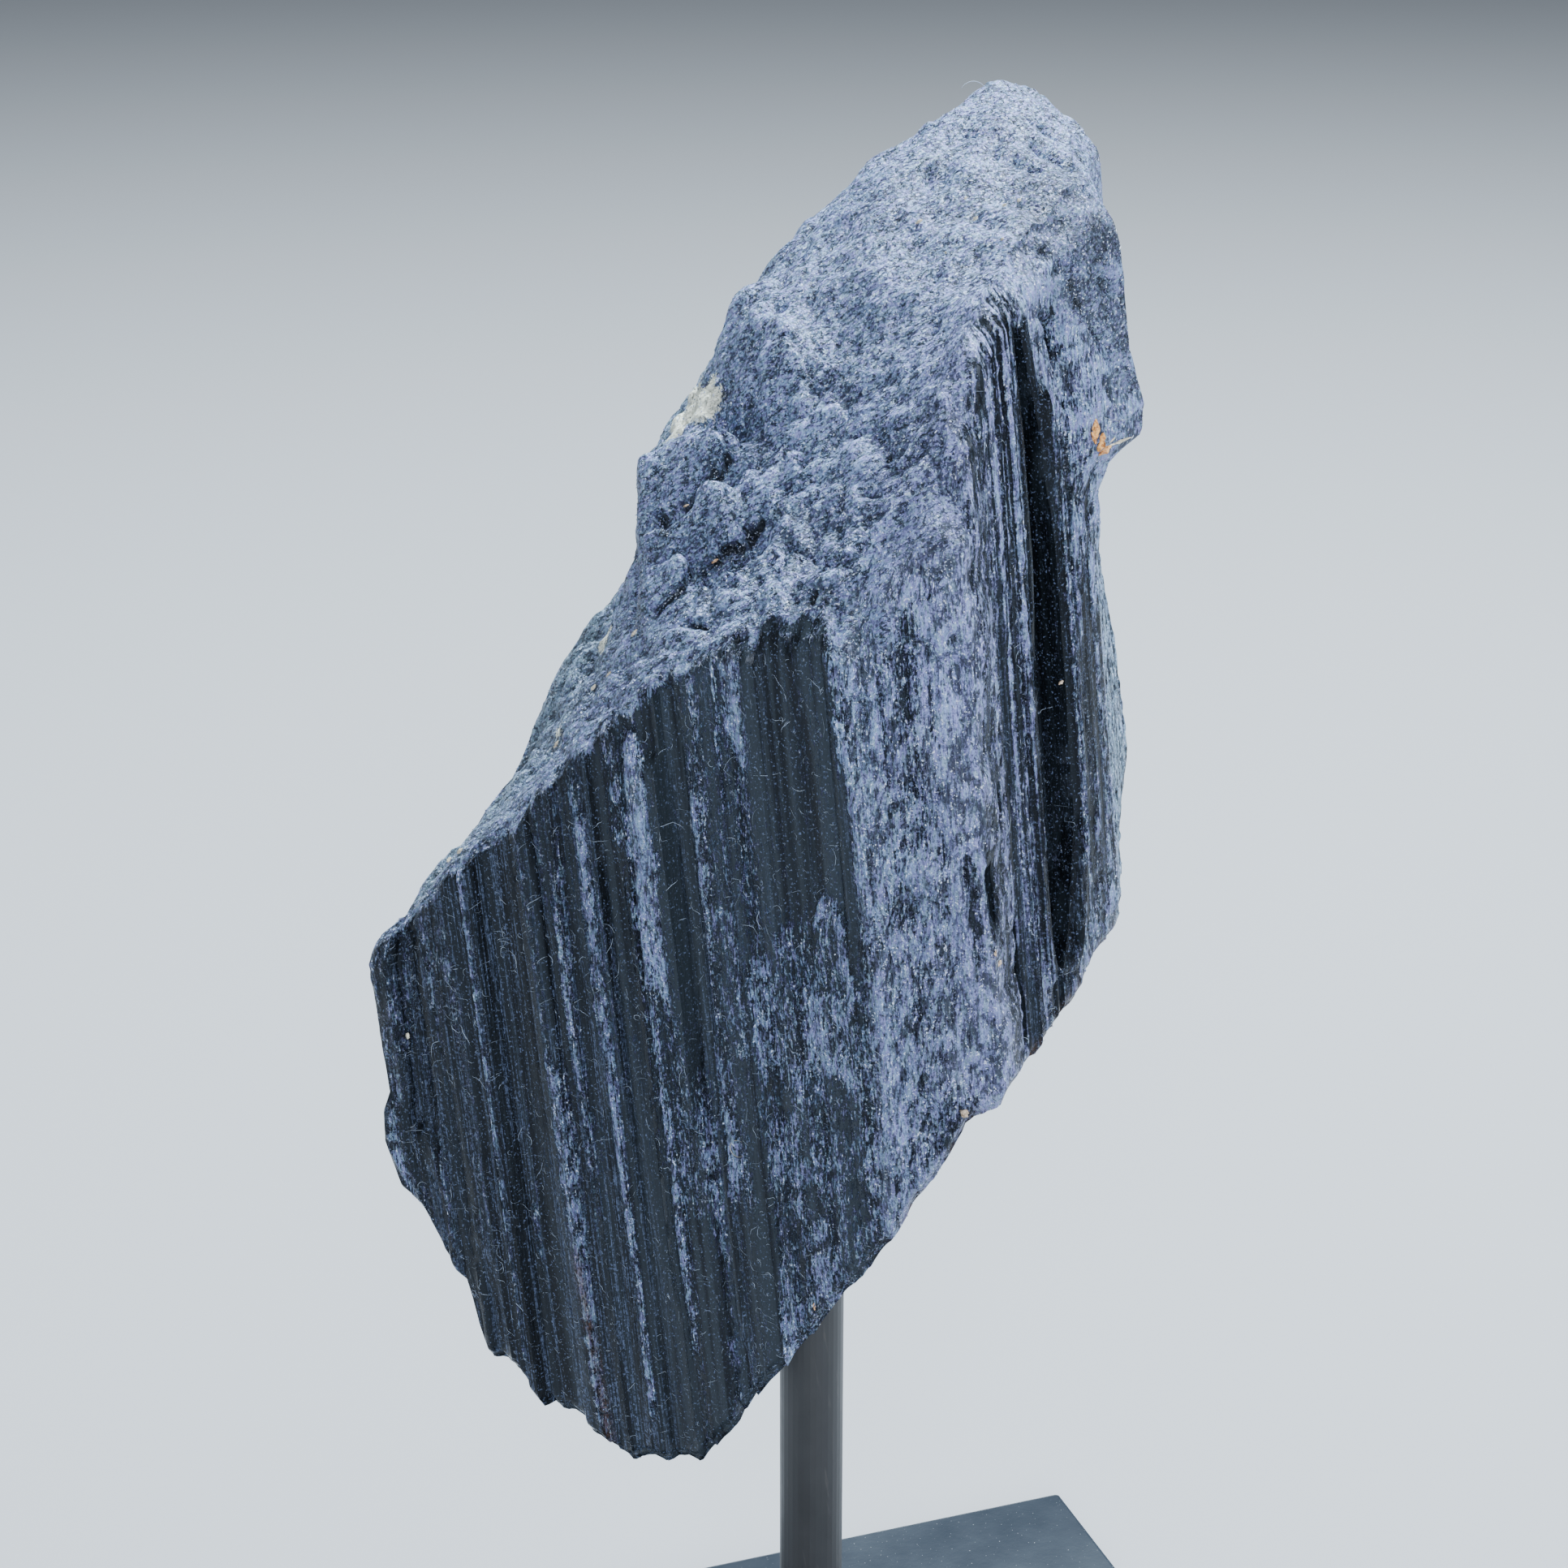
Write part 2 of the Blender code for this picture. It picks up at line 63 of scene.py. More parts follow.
# Corners that wander along a with the level: corner, then (level c, shift).
WANDER_REACH = 6.5
WANDER = {
    LEFT_END: ((-36, 0.5), (-24, 0.6), (-18, -0.6), (-15, -0.3), (-13, 0.6), (0, 0.5), (4, 2.2)),
    RIGHT_EDGE: (
        (-4, -1), (5, 0.2), (34, 0), (40.5, 0.4), (43.2, 1.6), (45.2, 4.4), (48, 4.7), (52, 3.8),
        (61, 3.5), (69, 2),
    ),
    BACK_RIGHT: (
        (-3, -2.5), (2, -1.2), (8, -0.5), (12.5, 0.4), (18, 0.2), (23, -0.2), (28, -0.9), (33, -1.8),
        (40, -2.2), (46, 1.5), (66, 1.2),
    ),
}

# The part's ribs and grooves: start and end along the face, height, lowest and highest level.
FRONT_RIBS = (
    (0, 2.7, 0.4, -60, 60), (2.7, 4.5, -0.9, -17, 4), (7.6, 8.6, 0.35, -60, 60), (12, 13.5, 0.6, -60, 17),
    (13.5, 18, -0.5, -60, 24), (18, 20.3, 0.5, -60, 21), (22.6, 23.3, 0.3, -60, 22),
    (26.2, 27.4, 0.6, -60, 24), (29.5, 30.6, 0.35, -60, 26), (33, 34.5, 0.9, -12, 24),
    (34.5, 36.6, -0.6, -60, 30.5), (40.2, 41, 0.4, -60, 28), (44, 51, -0.35, 3, 35.2),
)
RIGHT_RIBS = (
    (-0.2, 1.2, -0.9, 9, 15.5), (2.2, 3.2, -0.8, 17, 21.5), (4.1, 5.2, -1.2, -4, 9),
    (6.4, 7.2, 0.5, -6, 58), (8.6, 9.6, 0.5, 0, 60), (11, 15, -2, 0.5, 58), (11, 12.2, -1, 1, 24),
    (15.3, 16.4, 0.5, 0, 52), (17.2, 18.3, -0.8, 30, 57),
)
BACK_RIBS = (
    (10.8, 13.4, 0.6, -60, 60), (19, 23, -0.9, 5, 58), (25, 26.5, 0.5, -60, 56), (30, 33, 0.5, -60, 52),
    (36, 40, -0.8, -60, 38), (44.5, 47, 0.6, -60, 44), (52, 57, -0.7, -60, 30), (62, 64.5, 0.5, -60, 22),
)
RIBBED_FACES = ((FRONT_START, FRONT_RIBS), (RIGHT_START, RIGHT_RIBS), (BACK_START, BACK_RIBS))
RIB_EDGE, RIB_FADE, RIB_OVERRUN = 0.3, 1.5, 2.4

# The trench of the right face: its sides on the plain face, then (level, left, right).
TRENCH_SIDES = (11.0, 15.0)
TRENCH = (
    (0.5, 11.4, 11.9), (4, 10.8, 13.2), (14, 10.8, 15.2), (28, 10.8, 15.1), (38, 11.4, 15),
    (48, 11.3, 13.8), (57.5, 10.6, 11.8),
)

# The crust beside the ridge, the lumps on it, and how the faces turn over at both ends.
CRUST_HEIGHT = 0.7
CRUST_START, CRUST_END = 51.6, 68.0
CRUST_EDGE, CRUST_FADE = 0.8, 4.5
TURN_OVER = ((0, 0.6), (40, 0.9), (50, 2.0), (56, 3.8), (63, 3.2), (68, 1.6), (84, 1.8), (92, 1.2))
TURN_DEPTH, FOOT_TURN, FOOT_TURN_DEPTH = 2.4, 0.8, 2.0
LUMP_HEIGHT, LUMP_CELL, LUMP_SEED = 0.6, 3.6, 11

# The break across the top: points (a, b, c) near it, how far it lies below them, and the step
# at the lobes' left end.
TOP_POINTS = (
    (-41, 5, 1.5), (-38.3, 4, 3.4), (-30.8, 1, 11.5), (-24.2, -3, 17), (-17.3, -9, 24),
    (-10.9, -12.5, 30.9), (-1, -18, 35.3), (3.6, -20.7, 35.8), (9.8, -21, 41), (15.3, -21, 50),
    (17.7, -18, 58.6), (20.8, -13, 62), (25.4, -6, 65.4), (29.2, 2, 68.8), (26.2, 8, 71.6),
    (23.7, 11, 72.9), (19.7, 15, 69.6), (27, 13, 68), (21, 17.5, 67.4), (10.2, 17, 65), (3.6, 17, 59.8),
    (-1.9, 16, 54), (-6.7, 16, 46.7), (-10, 14, 43.4), (-19.7, 9, 26), (-24.9, 6, 16.1), (-31.6, 6, 9.6),
)
TOP_SMOOTHING = 0.4
TOP_SUNK = 0.3
TOE_LINE, TOE_WIDTH = -11.6, 1.2
TOE_STEP = ((-8.5, 0.0), (-5, 1.8), (3, 5.5), (10, 8.5), (16, 9.0))

# Its folds and crevices: start (a, b), end (a, b), half width and height.
TOP_FOLDS = (
    (-11.5, 4.6, -4.5, -2, 2, 3.6), (-11.5, 0.9, -3, -4.2, 1.1, -4.2), (-10.6, -1.1, -4, -6, 1.5, 2.8),
    (-11.5, -2.5, -6, -6.7, 0.9, -2.8), (-10.8, -4.4, -6.6, -7.8, 1.4, 2.4),
    (-6.4, -8.2, -0.5, -10, 1, -3), (-1.5, 8, 1.8, -1.4, 2.2, 3), (-4.2, 2.6, 1.4, -4.4, 1.2, -2.8),
    (9, 12, 18, 11, 3.2, -1.4), (28.6, 6, 27, 13, 1.6, -1.1), (15.2, 1.6, 16.8, 0.4, 0.9, -1),
    (15.9, -18.6, 16, -17.9, 0.7, -1.6),
)

# Small crevices and pits of the top, beyond the part's own.
FINE_FOLDS = (
    (14, -19.6, 14.3, -19.2, 0.6, -2.2), (4.5, -16.4, 5.2, -17.2, 0.22, -1.4),
    (7.6, -17.8, 8, -17.4, 0.3, -1.1), (2, -9, 4.2, -10.6, 0.3, -0.5), (19, 4, 22.5, 1.5, 0.25, -0.7),
    (21, 1, 24.5, -2, 0.25, -0.7), (22.5, 5, 26, 2, 0.25, -0.7), (24, 1.5, 27, -1.5, 0.25, -0.6),
    (-4.6, 4.4, -2.2, 0.2, 0.4, -0.9),
)
PIT_SEED, PIT_TRIES = 81, 420
PIT_CHANCE = ((30, 0.5), (40, 1.0), (50, 0.9), (58, 0.30), (66, 0.08), (73, 0.08))

# Half width, depth and path (a, b, c) of each narrow crevice of the top.
CREVICES = (
    (0.62, 1.5, (
        (-10.7, 1.4, 39.5), (-8.7, -2.6, 41.7), (-6.8, -3.8, 43.2), (-5, -2.6, 44.1), (-3.2, -3, 45.6),
    )),
    (0.5, 1.5, ((-6, -7.7, 38.2), (-3.8, -8.1, 39.4), (-2.5, -8.4, 40.3), (-1.1, -8.5, 41.8))),
    (0.44, 1.3, ((-6.2, -7.4, 37.9), (-8.3, -8.1, 36.8), (-10.5, -7, 34.7))),
    (0.36, 1, ((-4.3, -11.5, 37.9), (-3.5, -12.1, 38))),
    (0.34, 1, ((-8.3, -10.7, 34.6), (-6.3, -13, 34.8))),
    (0.3, 1, ((2.7, -17.4, 38.6), (2.6, -19, 36.4))),
    (0.35, 1.2, ((15.7, -17.9, 54.9), (16, -17.2, 53.3))),
    (0.3, 1.2, ((9.6, -14.6, 49.3), (9.9, -14.4, 47.6))),
    (0.28, 0.9, ((12.5, -17.6, 50.4), (12.7, -17.8, 49))),
    (0.3, 0.7, ((14.6, 1.9, 63.6), (17.4, 0.1, 64.8))),
)

# The direction of the break's fibres and one square to it, how rough the break is at each
# level, and how far from its rim it keeps its plain shape.
FIBRE = np.array((0.65, -0.57, 0.50))
FIBRE_SIDE = np.array((0.66, 0.75, 0.0))
ROUGH_BREAK = ((20, 0.6), (35, 1.0), (50, 1.0), (60, 0.5))
RIM_KEEP = 1.2

# The break across the foot: its level along the front, as (a, c), and how it rises to the back.
FOOT_EDGE = (
    (-42, -14), (-41.2, -17), (-40, -23.5), (-35, -32), (-34.2, -38.5), (-27, -45.6), (-22, -47.6),
    (-14.6, -46.4), (-12, -43.5), (1.4, -24.2), (12.7, -7.8), (19.6, -4.6), (26, -0.4), (30, 5),
)
FOOT_RISE, FOOT_CELL, FOOT_SEED = 0.12, 2.6, 7
FOOT_RAGGED = ((-20.0, 1.7), (-10.0, 0.5), (30.0, 0.4))

# How far apart the columns of the fine mesh stand on each face and on the smooth back corners,
# the least distance between two, the rows up the faces and how much closer they lie at the ends.
FRONT_STEP, CRUST_STEP, RIGHT_STEP, CORNER_STEP, BACK_STEP = 0.42, 0.38, 0.36, 0.7, 0.9
CLOSEST_COLUMNS = 0.12
WALL_ROWS, CLOSER_ENDS = 170, 0.08

# The mesh of the breaks: its steps, its jitter, and the direction (a, b) in which the top is pulled
# apart, by how much of its level and up to which level.
TOP_STEP, FOOT_STEP = 0.42, 0.75
CAP_SEED, CAP_JITTER = 3, 0.25
UPHILL = np.array((0.65, 0.76))
STEEPNESS, STEEP_BELOW = 0.7, 60.0

# How near the mesh of a break comes to its rim, in steps, and how much wider than the bore its
# hole is; and the rounds of the searches for the columns' ends, the bore's mouth and the places
# that unfold to given ones.
RIM_CLEARANCE, HOLE_CLEARANCE = 0.45, 1.12
EDGE_ROUNDS, MOUTH_ROUNDS, HALVINGS = 6, 30, 26

# How many points are measured at once, and the angle from which an edge looks sharp.
CHUNK, SHARP_FROM = 2000, math.radians(38)

# Finer strips along the faces: start, end, lowest and highest level, height, and how worn and
# frosted the strip is, from 0 for glassy black to 1 for rough lilac grey.
FRONT_STRIPS = (
    (0.6, 4.4, -6, 9, 0.1, 0.42), (4.4, 5.7, -18, 5, -0.45, 0), (2.2, 4.7, -24, -8, 0, 0.05),
    (4.6, 6.4, -31, -14, 0.25, 0.38), (7.2, 7.9, -11, 8, 0.22, 0.42), (7.9, 8.5, -30, -9, 0.2, 0.45),
    (8.6, 11, -29, -17, 0.2, 0.38), (9.6, 10.1, -12, 6, 0.1, 0.35), (11.9, 12.7, -40, 12, 0.3, 0.57),
    (12.8, 16.6, -25, 15, -0.15, 0), (16.6, 18.9, -25, 17, 0, 0.04), (19, 20, -8, 17, 0.3, 0.46),
    (15, 15.6, -28, -8, 0.2, 0.4), (17.4, 17.9, -36, -6, 0.15, 0.35), (19.1, 21.1, -46, -6, 0.35, 0.65),
    (21.4, 21.9, -2, 14, 0.2, 0.46), (22.6, 23.2, -14, 16, 0.2, 0.49), (24.2, 24.6, -8, 18, 0.15, 0.42),
    (25.2, 26.9, -42, 20, 0.35, 0.68), (27.2, 30.4, -46, 15, -0.2, 0.06), (28.6, 28.9, -20, 10, 0.12, 0.4),
    (30.7, 33.2, 0, 25, 0.45, 0.76), (30.7, 31.7, -34, 4, 0.3, 0.68), (32.9, 33.4, -6, 8, 0.25, 0.61),
    (31.8, 34.3, -44, -20, 0.1, 0.14), (34.3, 34.7, -46, -10, -0.35, 0), (34.7, 35.7, -40, -4, 0.2, 0.46),
    (33.5, 37, -3, 29, -0.2, 0.05), (37, 37.9, -14, 22, 0.25, 0.65), (35.2, 35.6, 22, 31, 0.1, 0.53),
    (36.1, 36.6, 23, 32, 0.1, 0.53), (38.5, 39.2, 18, 32, 0.1, 0.61), (40.3, 41, 17, 33, 0.1, 0.61),
    (38.2, 40.4, -8, 18, 0, 0.42), (41, 43.2, 23, 33, 0.1, 0.72), (41.2, 43, 2, 24, 0, 0.38),
    (36.3, 40.3, -44, -17, 0.05, 0.16), (40.4, 50.8, -6, 5, 0, 0.68), (40.4, 50.8, -17, -6, 0, 0.46),
    (40.4, 50.8, -36, -17, 0, 0.43), (40.2, 42.2, -36, -26, 0.05, 0.68),
    (42.2, 44.4, -34, -22, 0.05, 0.64), (44.4, 46.8, -30, -18, 0.05, 0.6),
    (43.3, 50.4, 10, 35.6, -0.1, 0.09), (43.3, 50.4, 3, 11, 0, 0.5), (50.5, 51.2, 6, 34, -0.35, 0.1),
    (51.1, 52.3, 9, 25, -0.2, 0.12),
)
CRUST_STRIPS = (
    (1.1, 1.6, 8, 35, 0.12, 1), (2.3, 2.7, -4, 24, -0.15, 0.5), (3, 3.5, 12, 37, 0.12, 1),
    (4.3, 4.7, -6, 30, -0.15, 0.5), (4.9, 5.4, 0, 38, 0.12, 1), (5.8, 7.4, 15, 37, -0.1, 0.62),
    (8.6, 11.9, -2, 56, 0.05, 0.9), (9.3, 10.5, 5, 17, -0.12, 0.5), (7.6, 8.1, 4, 18, -0.15, 0.45),
)
RIGHT_STRIPS = (
    (-0.2, 1.2, 9, 15.5, 0, 0), (2.3, 3.2, 17, 21.5, 0, 0), (4.1, 5.2, -4, 9, 0, 0),
    (5.2, 5.7, 2, 53, -0.25, 0.15), (6.4, 7.1, -6, 58, 0.15, 0.6), (7.4, 7.8, -4, 58, -0.25, 0.2),
    (8.7, 9.3, 0, 60, 0.15, 0.5), (9.6, 10.6, 0, 59, -0.2, 0.15), (10.6, 15.8, 0, 58, 0, 0),
    (15.5, 16.4, -2, 53, 0.1, 0.45), (16.5, 16.9, 0, 50, -0.3, 0.2), (17, 17.9, 0, 50, 0.1, 0.4),
    (17.3, 18.1, 51, 57, -0.3, 0), (18, 18.4, 4, 36, -0.3, 0.1),
)
STRIP_FACES = ((FRONT_START, FRONT_STRIPS), (CRUST_FACE, CRUST_STRIPS), (RIGHT_START, RIGHT_STRIPS))

# Pale ragged scars, and slits cut in and painted dark as shade, on the faces: start and end as
# (distance, level), half width and height.
SCARS = (
    (47.9, 11.4, 50.3, 8.7, 0.5, 0.3), (50.3, 8.7, 51, 3.8, 0.45, 0.3), (52.6, 21, 53, 14, 0.4, 0.3),
    (31.6, 22, 33.4, 12, 0.6, 0.3), (81.2, 60.8, 82.8, 52, 0.17, -0.6), (79.8, 57, 80.9, 50, 0.24, -0.8),
    (83.1, 58.8, 83.4, 57.6, 0.28, -0.7), (82.3, 50.6, 82.8, 47.8, 0.18, -0.6),
    (80.4, 62, 80.8, 60.2, 0.18, -0.5),
)
# Where the columns start to stand closer for the slits, and how far dents keep off the corners.
SLITS_START, CORNER_KEEP = 79.5, 1.4

# Fine even ribs beside the trench: start, end, spacing and lowest level.
COMB = (67.6, 73.4, 0.62, 16.0)

# Round the outline: how far down the granular crust of the break reaches, how much painted sheen
# greys the black facets, how far the texture is drawn out into upright lines, and how worn the faces are.
SPILL = (
    (0, 1.3), (20, 1.5), (28, 2.4), (38, 2), (43, 0.9), (50.5, 0.9), (52, 7), (60, 8), (64, 6), (67, 2.2),
    (72.5, 1), (75.5, 1.6), (78.5, 4), (80.4, 7), (82, 16), (84, 20), (96, 8), (125, 4), (174, 2),
)
SHEEN = (
    (0, 0.1), (10, 0.1), (24, 0.5), (36, 0.85), (50, 1), (52, 0.5), (70, 0.4), (76, 0), (79, 0), (84, 0.4),
    (100, 0.5), (174, 0.1),
)
STRIATED = (
    (0, 0.4), (12, 0.6), (26, 0.6), (30, 0.1), (34, 0.1), (36, 0.5), (42, 0.3), (50.5, 0.2), (52.5, 0.45),
    (58.5, 0.5), (59.5, 0.6), (63, 0.5), (66, 0.5), (67.5, 1), (73, 1), (73.4, 0.2), (77.8, 0.2),
    (78.4, 0.9), (80, 0.9), (82, 0.6), (86, 0.1), (100, 0.4), (174, 0.4),
)
WORN = (
    (0, 0.25), (12, 0.15), (25, 0.28), (40, 0.34), (50, 0.3), (51.5, 0.4), (52.6, 0.8), (62, 0.82),
    (65, 0.64), (69, 0.5), (71.5, 0.34), (73.2, 0.28), (78, 0.5), (81, 0.44), (85, 0.82), (95, 0.8),
    (110, 0.5), (160, 0.5), (AROUND, 0.3),
)

# Painted light on the break: how pale it is at each level, paler higher up where more light
# falls; and its cream stains: strength, centre and radius.
PAINTED_LIGHT_BY_LEVEL = ((0, 0.55), (30, 0.70), (40, 0.94), (48, 0.97), (54, 1.0))
CREAM_SPOTS = (
    (1.3, (-6.5, 8.2, 47.5), (2.6, 2.4, 3.2)), (1, (-5, 4.8, 49), (1.8, 1.6, 2)),
    (0.8, (-15.5, 3.4, 28.5), (1.2, 1, 1.6)), (0.7, (-21, 1, 22), (1.6, 1, 1.4)),
)

# The dark and the pale shade of the frosted stone's grey, lilac and green, mixed by the bright value,
# which holds wear and painted light.
FROST_SHADES = (
    ((0.05, 0.075, 0.128, 1), (0.255, 0.392, 0.675, 1)),
    ((0.066, 0.068, 0.146, 1), (0.325, 0.352, 0.73, 1)),
    ((0.054, 0.088, 0.1, 1), (0.275, 0.42, 0.53, 1)),
)

# The corners of a small crystal's eight faces, and the share of crystals that are glossy and
# coloured pale as painted glints.
SPIKE_FACES = np.array(
    ((0, 2, 4), (0, 4, 3), (0, 3, 5), (0, 5, 2), (1, 4, 2), (1, 3, 4), (1, 5, 3), (1, 2, 5))
)
GLOSSY_PAINTED_GLINT_SHARE = 0.03

# The lint: how many fibres there are in all and on the front, the points along each, and the
# points along the curled thread and the loose hair.
LINT_COUNTS, LINT_STEPS, HAIR_STEPS = (1900, 1500), 7, 24

# Splinters: middle (a, b, c), lie, half length, half width, and hue from 0 orange to 1 cream.
FLECKS = (
    ((27.4, -6.7, 46.6), (0.05, -0.1, 1), 0.95, 0.42, 0.05),
    ((27.8, -6.5, 45.4), (0.35, 0.1, 1), 0.85, 0.36, 0.02),
    ((27.2, -6.8, 45.9), (-0.3, -0.1, 1), 0.6, 0.22, 0.1),
    ((28.1, -6.3, 44.6), (0.7, 0.2, 0.4), 0.7, 0.26, 0.15),
    ((29.4, -5.4, 45), (0.9, 0.5, 0.12), 1.25, 0.13, 0.9),
    ((28.6, -5.8, 45.2), (0.8, 0.3, 0.5), 0.6, 0.12, 0.7),
    ((14.4, -1.7, 64), (0.7, -0.5, 0.4), 0.42, 0.14, 0.75),
    ((18.9, -4.6, 64.4), (0.5, -0.6, 0.5), 0.38, 0.15, 0.9),
    ((21.3, -4.7, 65.3), (0.4, -0.7, 0.4), 0.34, 0.13, 0.95),
    ((22.5, -4.8, 65.6), (0.5, -0.5, 0.4), 0.28, 0.12, 0.8),
    ((18.3, -2.4, 65.7), (0.6, -0.6, 0.4), 0.22, 0.11, 0.9),
    ((16.25, -6.2, 62.2), (0.3, -0.8, 0.4), 0.2, 0.1, 0.85),
    ((20.75, -8.1, 63.25), (0.5, -0.4, 0.5), 0.24, 0.11, 0.85),
    ((15.4, -22.6, 7.4), (0.3, 0.1, 1), 0.5, 0.2, 0.45),
    ((15.75, -22.13, 6.4), (0.5, 0.3, 0.8), 0.34, 0.18, 0.55),
    ((23.15, -9.38, 25.9), (0.7, 0.5, 0.4), 0.42, 0.16, 0.5),
    ((17.7, -15.6, 25.8), (0.7, 0.6, 0.2), 0.4, 0.14, 0.45),
    ((11.9, -22.6, -6.8), (0.4, 0, 0.9), 0.42, 0.36, 0.5),
    ((-2.4, -17.6, -26.6), (0.1, 0, 1), 0.75, 0.17, 0.25),
    ((-12.4, -4.8, 32), (0.5, -0.4, 0.6), 0.55, 0.16, 0.75),
    ((-13.4, -3.6, 31), (0.5, -0.5, 0.7), 0.5, 0.18, 0.8),
    ((-15, -4.4, 28.3), (0.4, -0.5, 0.7), 0.6, 0.15, 0.7),
    ((-16.6, -2.6, 26.7), (0.5, -0.4, 0.7), 0.45, 0.14, 0.8),
    ((-20.6, -0.9, 21.2), (0.5, -0.3, 0.8), 0.5, 0.14, 0.75),
    ((-30.2, -1.1, 12.1), (0.6, -0.2, 0.6), 0.42, 0.15, 0.8),
    ((-31.4, -0.2, 11), (0.6, -0.2, 0.6), 0.34, 0.14, 0.9),
    ((-4.8, -7.9, 38.6), (0.7, -0.5, 0.5), 0.45, 0.12, 0.3),
    ((-7, -2.4, 42), (0.7, -0.6, 0.4), 0.4, 0.1, 0.4),
    ((-37.9, 2.92, -7.2), (0.2, -0.2, 0.9), 0.4, 0.22, 0.9),
)
FLECK_RINGS, FLECK_SIDES = 7, 8

# The seeds of the noise and of the small pieces.
STREAK_SEED, GRAIN_SEED, PATCH_SEED, WOBBLE_SEED, LEDGE_SEED = 21, 31, 41, 51, 71
LINT_SEED, FLECK_SEED = 91, 95

# The stage: the floor's half width, the height the lamps aim at, and each lamp's place, size,
# power and colour.
FLOOR_REACH, AIM_HEIGHT = 6.0, 0.11
LAMPS = (
    ("top_softbox", (0.22, 0.26, 0.98), 0.3, 42, (0.82, 0.93, 1)),
    ("front_softbox", (-0.35, -0.95, 0.55), 0.4, 15, (0.88, 0.93, 1)),
    ("right_softbox", (0.6, -0.5, 0.55), 0.3, 7, (0.88, 0.92, 1)),
)

# The camera: its place in metres, its tilt and turn in degrees, its lens and sensor in mm.
CAMERA_PLACE = (-0.0910, -0.2459, 0.2208)
CAMERA_TILT, CAMERA_TURN = 69, -19.74
CAMERA_LENS, SENSOR_WIDTH = 73.38, 36

# The noise: how many random values it draws on, and the numbers that scatter the lattice's cells
# over them.
NOISE_VALUES = 4096
SCATTER = np.array((73856093, 19349663, 83492791))


def smooth_step(value):
    """0 below 0, 1 above 1 and a smooth ramp between."""
    value = np.clip(value, 0.0, 1.0)
    return value * value * (3 - 2 * value)


def rise(value, start, width):
    """0 up to the start, 1 from a width above it and a smooth ramp between."""
    return smooth_step((value - start) / width)


def fall(value, end, width):
    """1 up to a width below the end, 0 from the end and a smooth ramp between."""
    return smooth_step((end - value) / width)


def table(at, rows):
    """The value at each place of a table of (place, value) rows."""
    return np.interp(at, *np.array(rows, float).T)


def lattice_noise(points, seed):
    """Smooth noise from -1 to 1 at each row of points, from random values on a unit lattice."""
    values = np.random.default_rng(seed).uniform(-1, 1, NOISE_VALUES)
    cell = np.floor(points).astype(np.int64)
    part = points - cell
    part = part * part * (3 - 2 * part)
    total = np.zeros(len(points))
    for corner in np.ndindex(2, 2, 2):
        key = np.bitwise_xor.reduce((cell + corner) * SCATTER, axis=1)
        weight = np.prod(np.where(corner, part, 1 - part), axis=1)
        total += weight * values[key % NOISE_VALUES]
    return total


def field(x, y, z, cells, seed):
    """Noise over three coordinates, with a cell size for each."""
    return lattice_noise(np.column_stack((x, y, z)) / np.array(cells, float), seed)


def flat_field(x, y, cells, seed):
    """Noise over two coordinates, with a cell size for each."""
    return field(x, y, x * 0, (*cells, 1), seed)


def lumps(across, up):
    """Low rounded lumps over a broken or granular surface."""
    points = np.column_stack((across, up, np.zeros_like(across))) / LUMP_CELL
    return LUMP_HEIGHT * lattice_noise(points, LUMP_SEED)


def apart(along, place):
    """How far apart two places are, the short way round the outline."""
    return np.abs((along - place + AROUND / 2) % AROUND - AROUND / 2)


def chunks(count):
    """Slices that share out many rows, so that no table of distances grows too large."""
    return [slice(first, first + CHUNK) for first in range(0, count, CHUNK)]


def section(along, level):
    """(a, b) of the plain outline at distances round it, at levels along the axis."""
    closed = np.vstack((CORNERS, CORNERS[:1]))
    a, b = (np.interp(along, FACE_STARTS, places) for places in closed.T)
    for corner, shifts in WANDER.items():
        weight = np.clip(1 - apart(along, FACE_STARTS[corner]) / WANDER_REACH, 0, 1)
        a = a + weight * table(level, shifts)
    return a, b


def outward(along):
    """The outline's outward direction in (a, b), turning over a short stretch at each corner."""
    edges = np.roll(CORNERS, -1, axis=0) - CORNERS
    normals = np.column_stack((edges[:, 1], -edges[:, 0])) / FACE_LENGTHS[:, None]
    places, turned = [], []
    for face, normal in enumerate(normals):
        after, before = (WIDE_BLEND.get(corner, CORNER_BLEND) for corner in (face, face + 1))
        places += [FACE_STARTS[face] + after, FACE_STARTS[face + 1] - before]
        turned += [normal, normal]
    na, nb = (np.interp(along, places, part, period=AROUND) for part in np.array(turned).T)
    length = np.hypot(na, nb)
    return na / length, nb / length


def strip(along, level, start, end, low, high):
    """1 inside a strip of a face and 0 outside it, with soft edges."""
    across = rise(along, start, RIB_EDGE) * fall(along, end, RIB_EDGE)
    return across * rise(level, low, RIB_FADE) * fall(level, high, RIB_FADE)


def relief(along, level, below_top):
    """How far the part's faces stand out from the plain outline."""
    height = np.zeros_like(along)
    for face_start, ribs in RIBBED_FACES:
        for start, end, rib_height, low, high in ribs:
            height += rib_height * strip(along, level, face_start + start, face_start + end, low, high)
    height *= smooth_step((below_top + RIB_OVERRUN) / RIB_FADE - table(along, TURN_OVER))
    crust = rise(along, CRUST_START, CRUST_EDGE) * fall(along, CRUST_END, CRUST_FADE)
    return height + (CRUST_HEIGHT + lumps(along, level)) * crust


def beside_trench(along, level):
    """Where the right face's columns really lie, so that they follow the trench's sides."""
    levels, left, right = np.array(TRENCH).T
    left, right = np.interp(level, levels, left), np.interp(level, levels, right)
    place = along - RIGHT_START
    length = FACE_LENGTHS[2]
    low, high = TRENCH_SIDES
    before = place * left / low
    within = left + (place - low) * (right - left) / (high - low)
    after = right + (place - high) * (length - right) / (length - high)
    moved = np.where(place < low, before, np.where(place < high, within, after))
    return np.where((place > 0) & (place < length), RIGHT_START + moved, along)


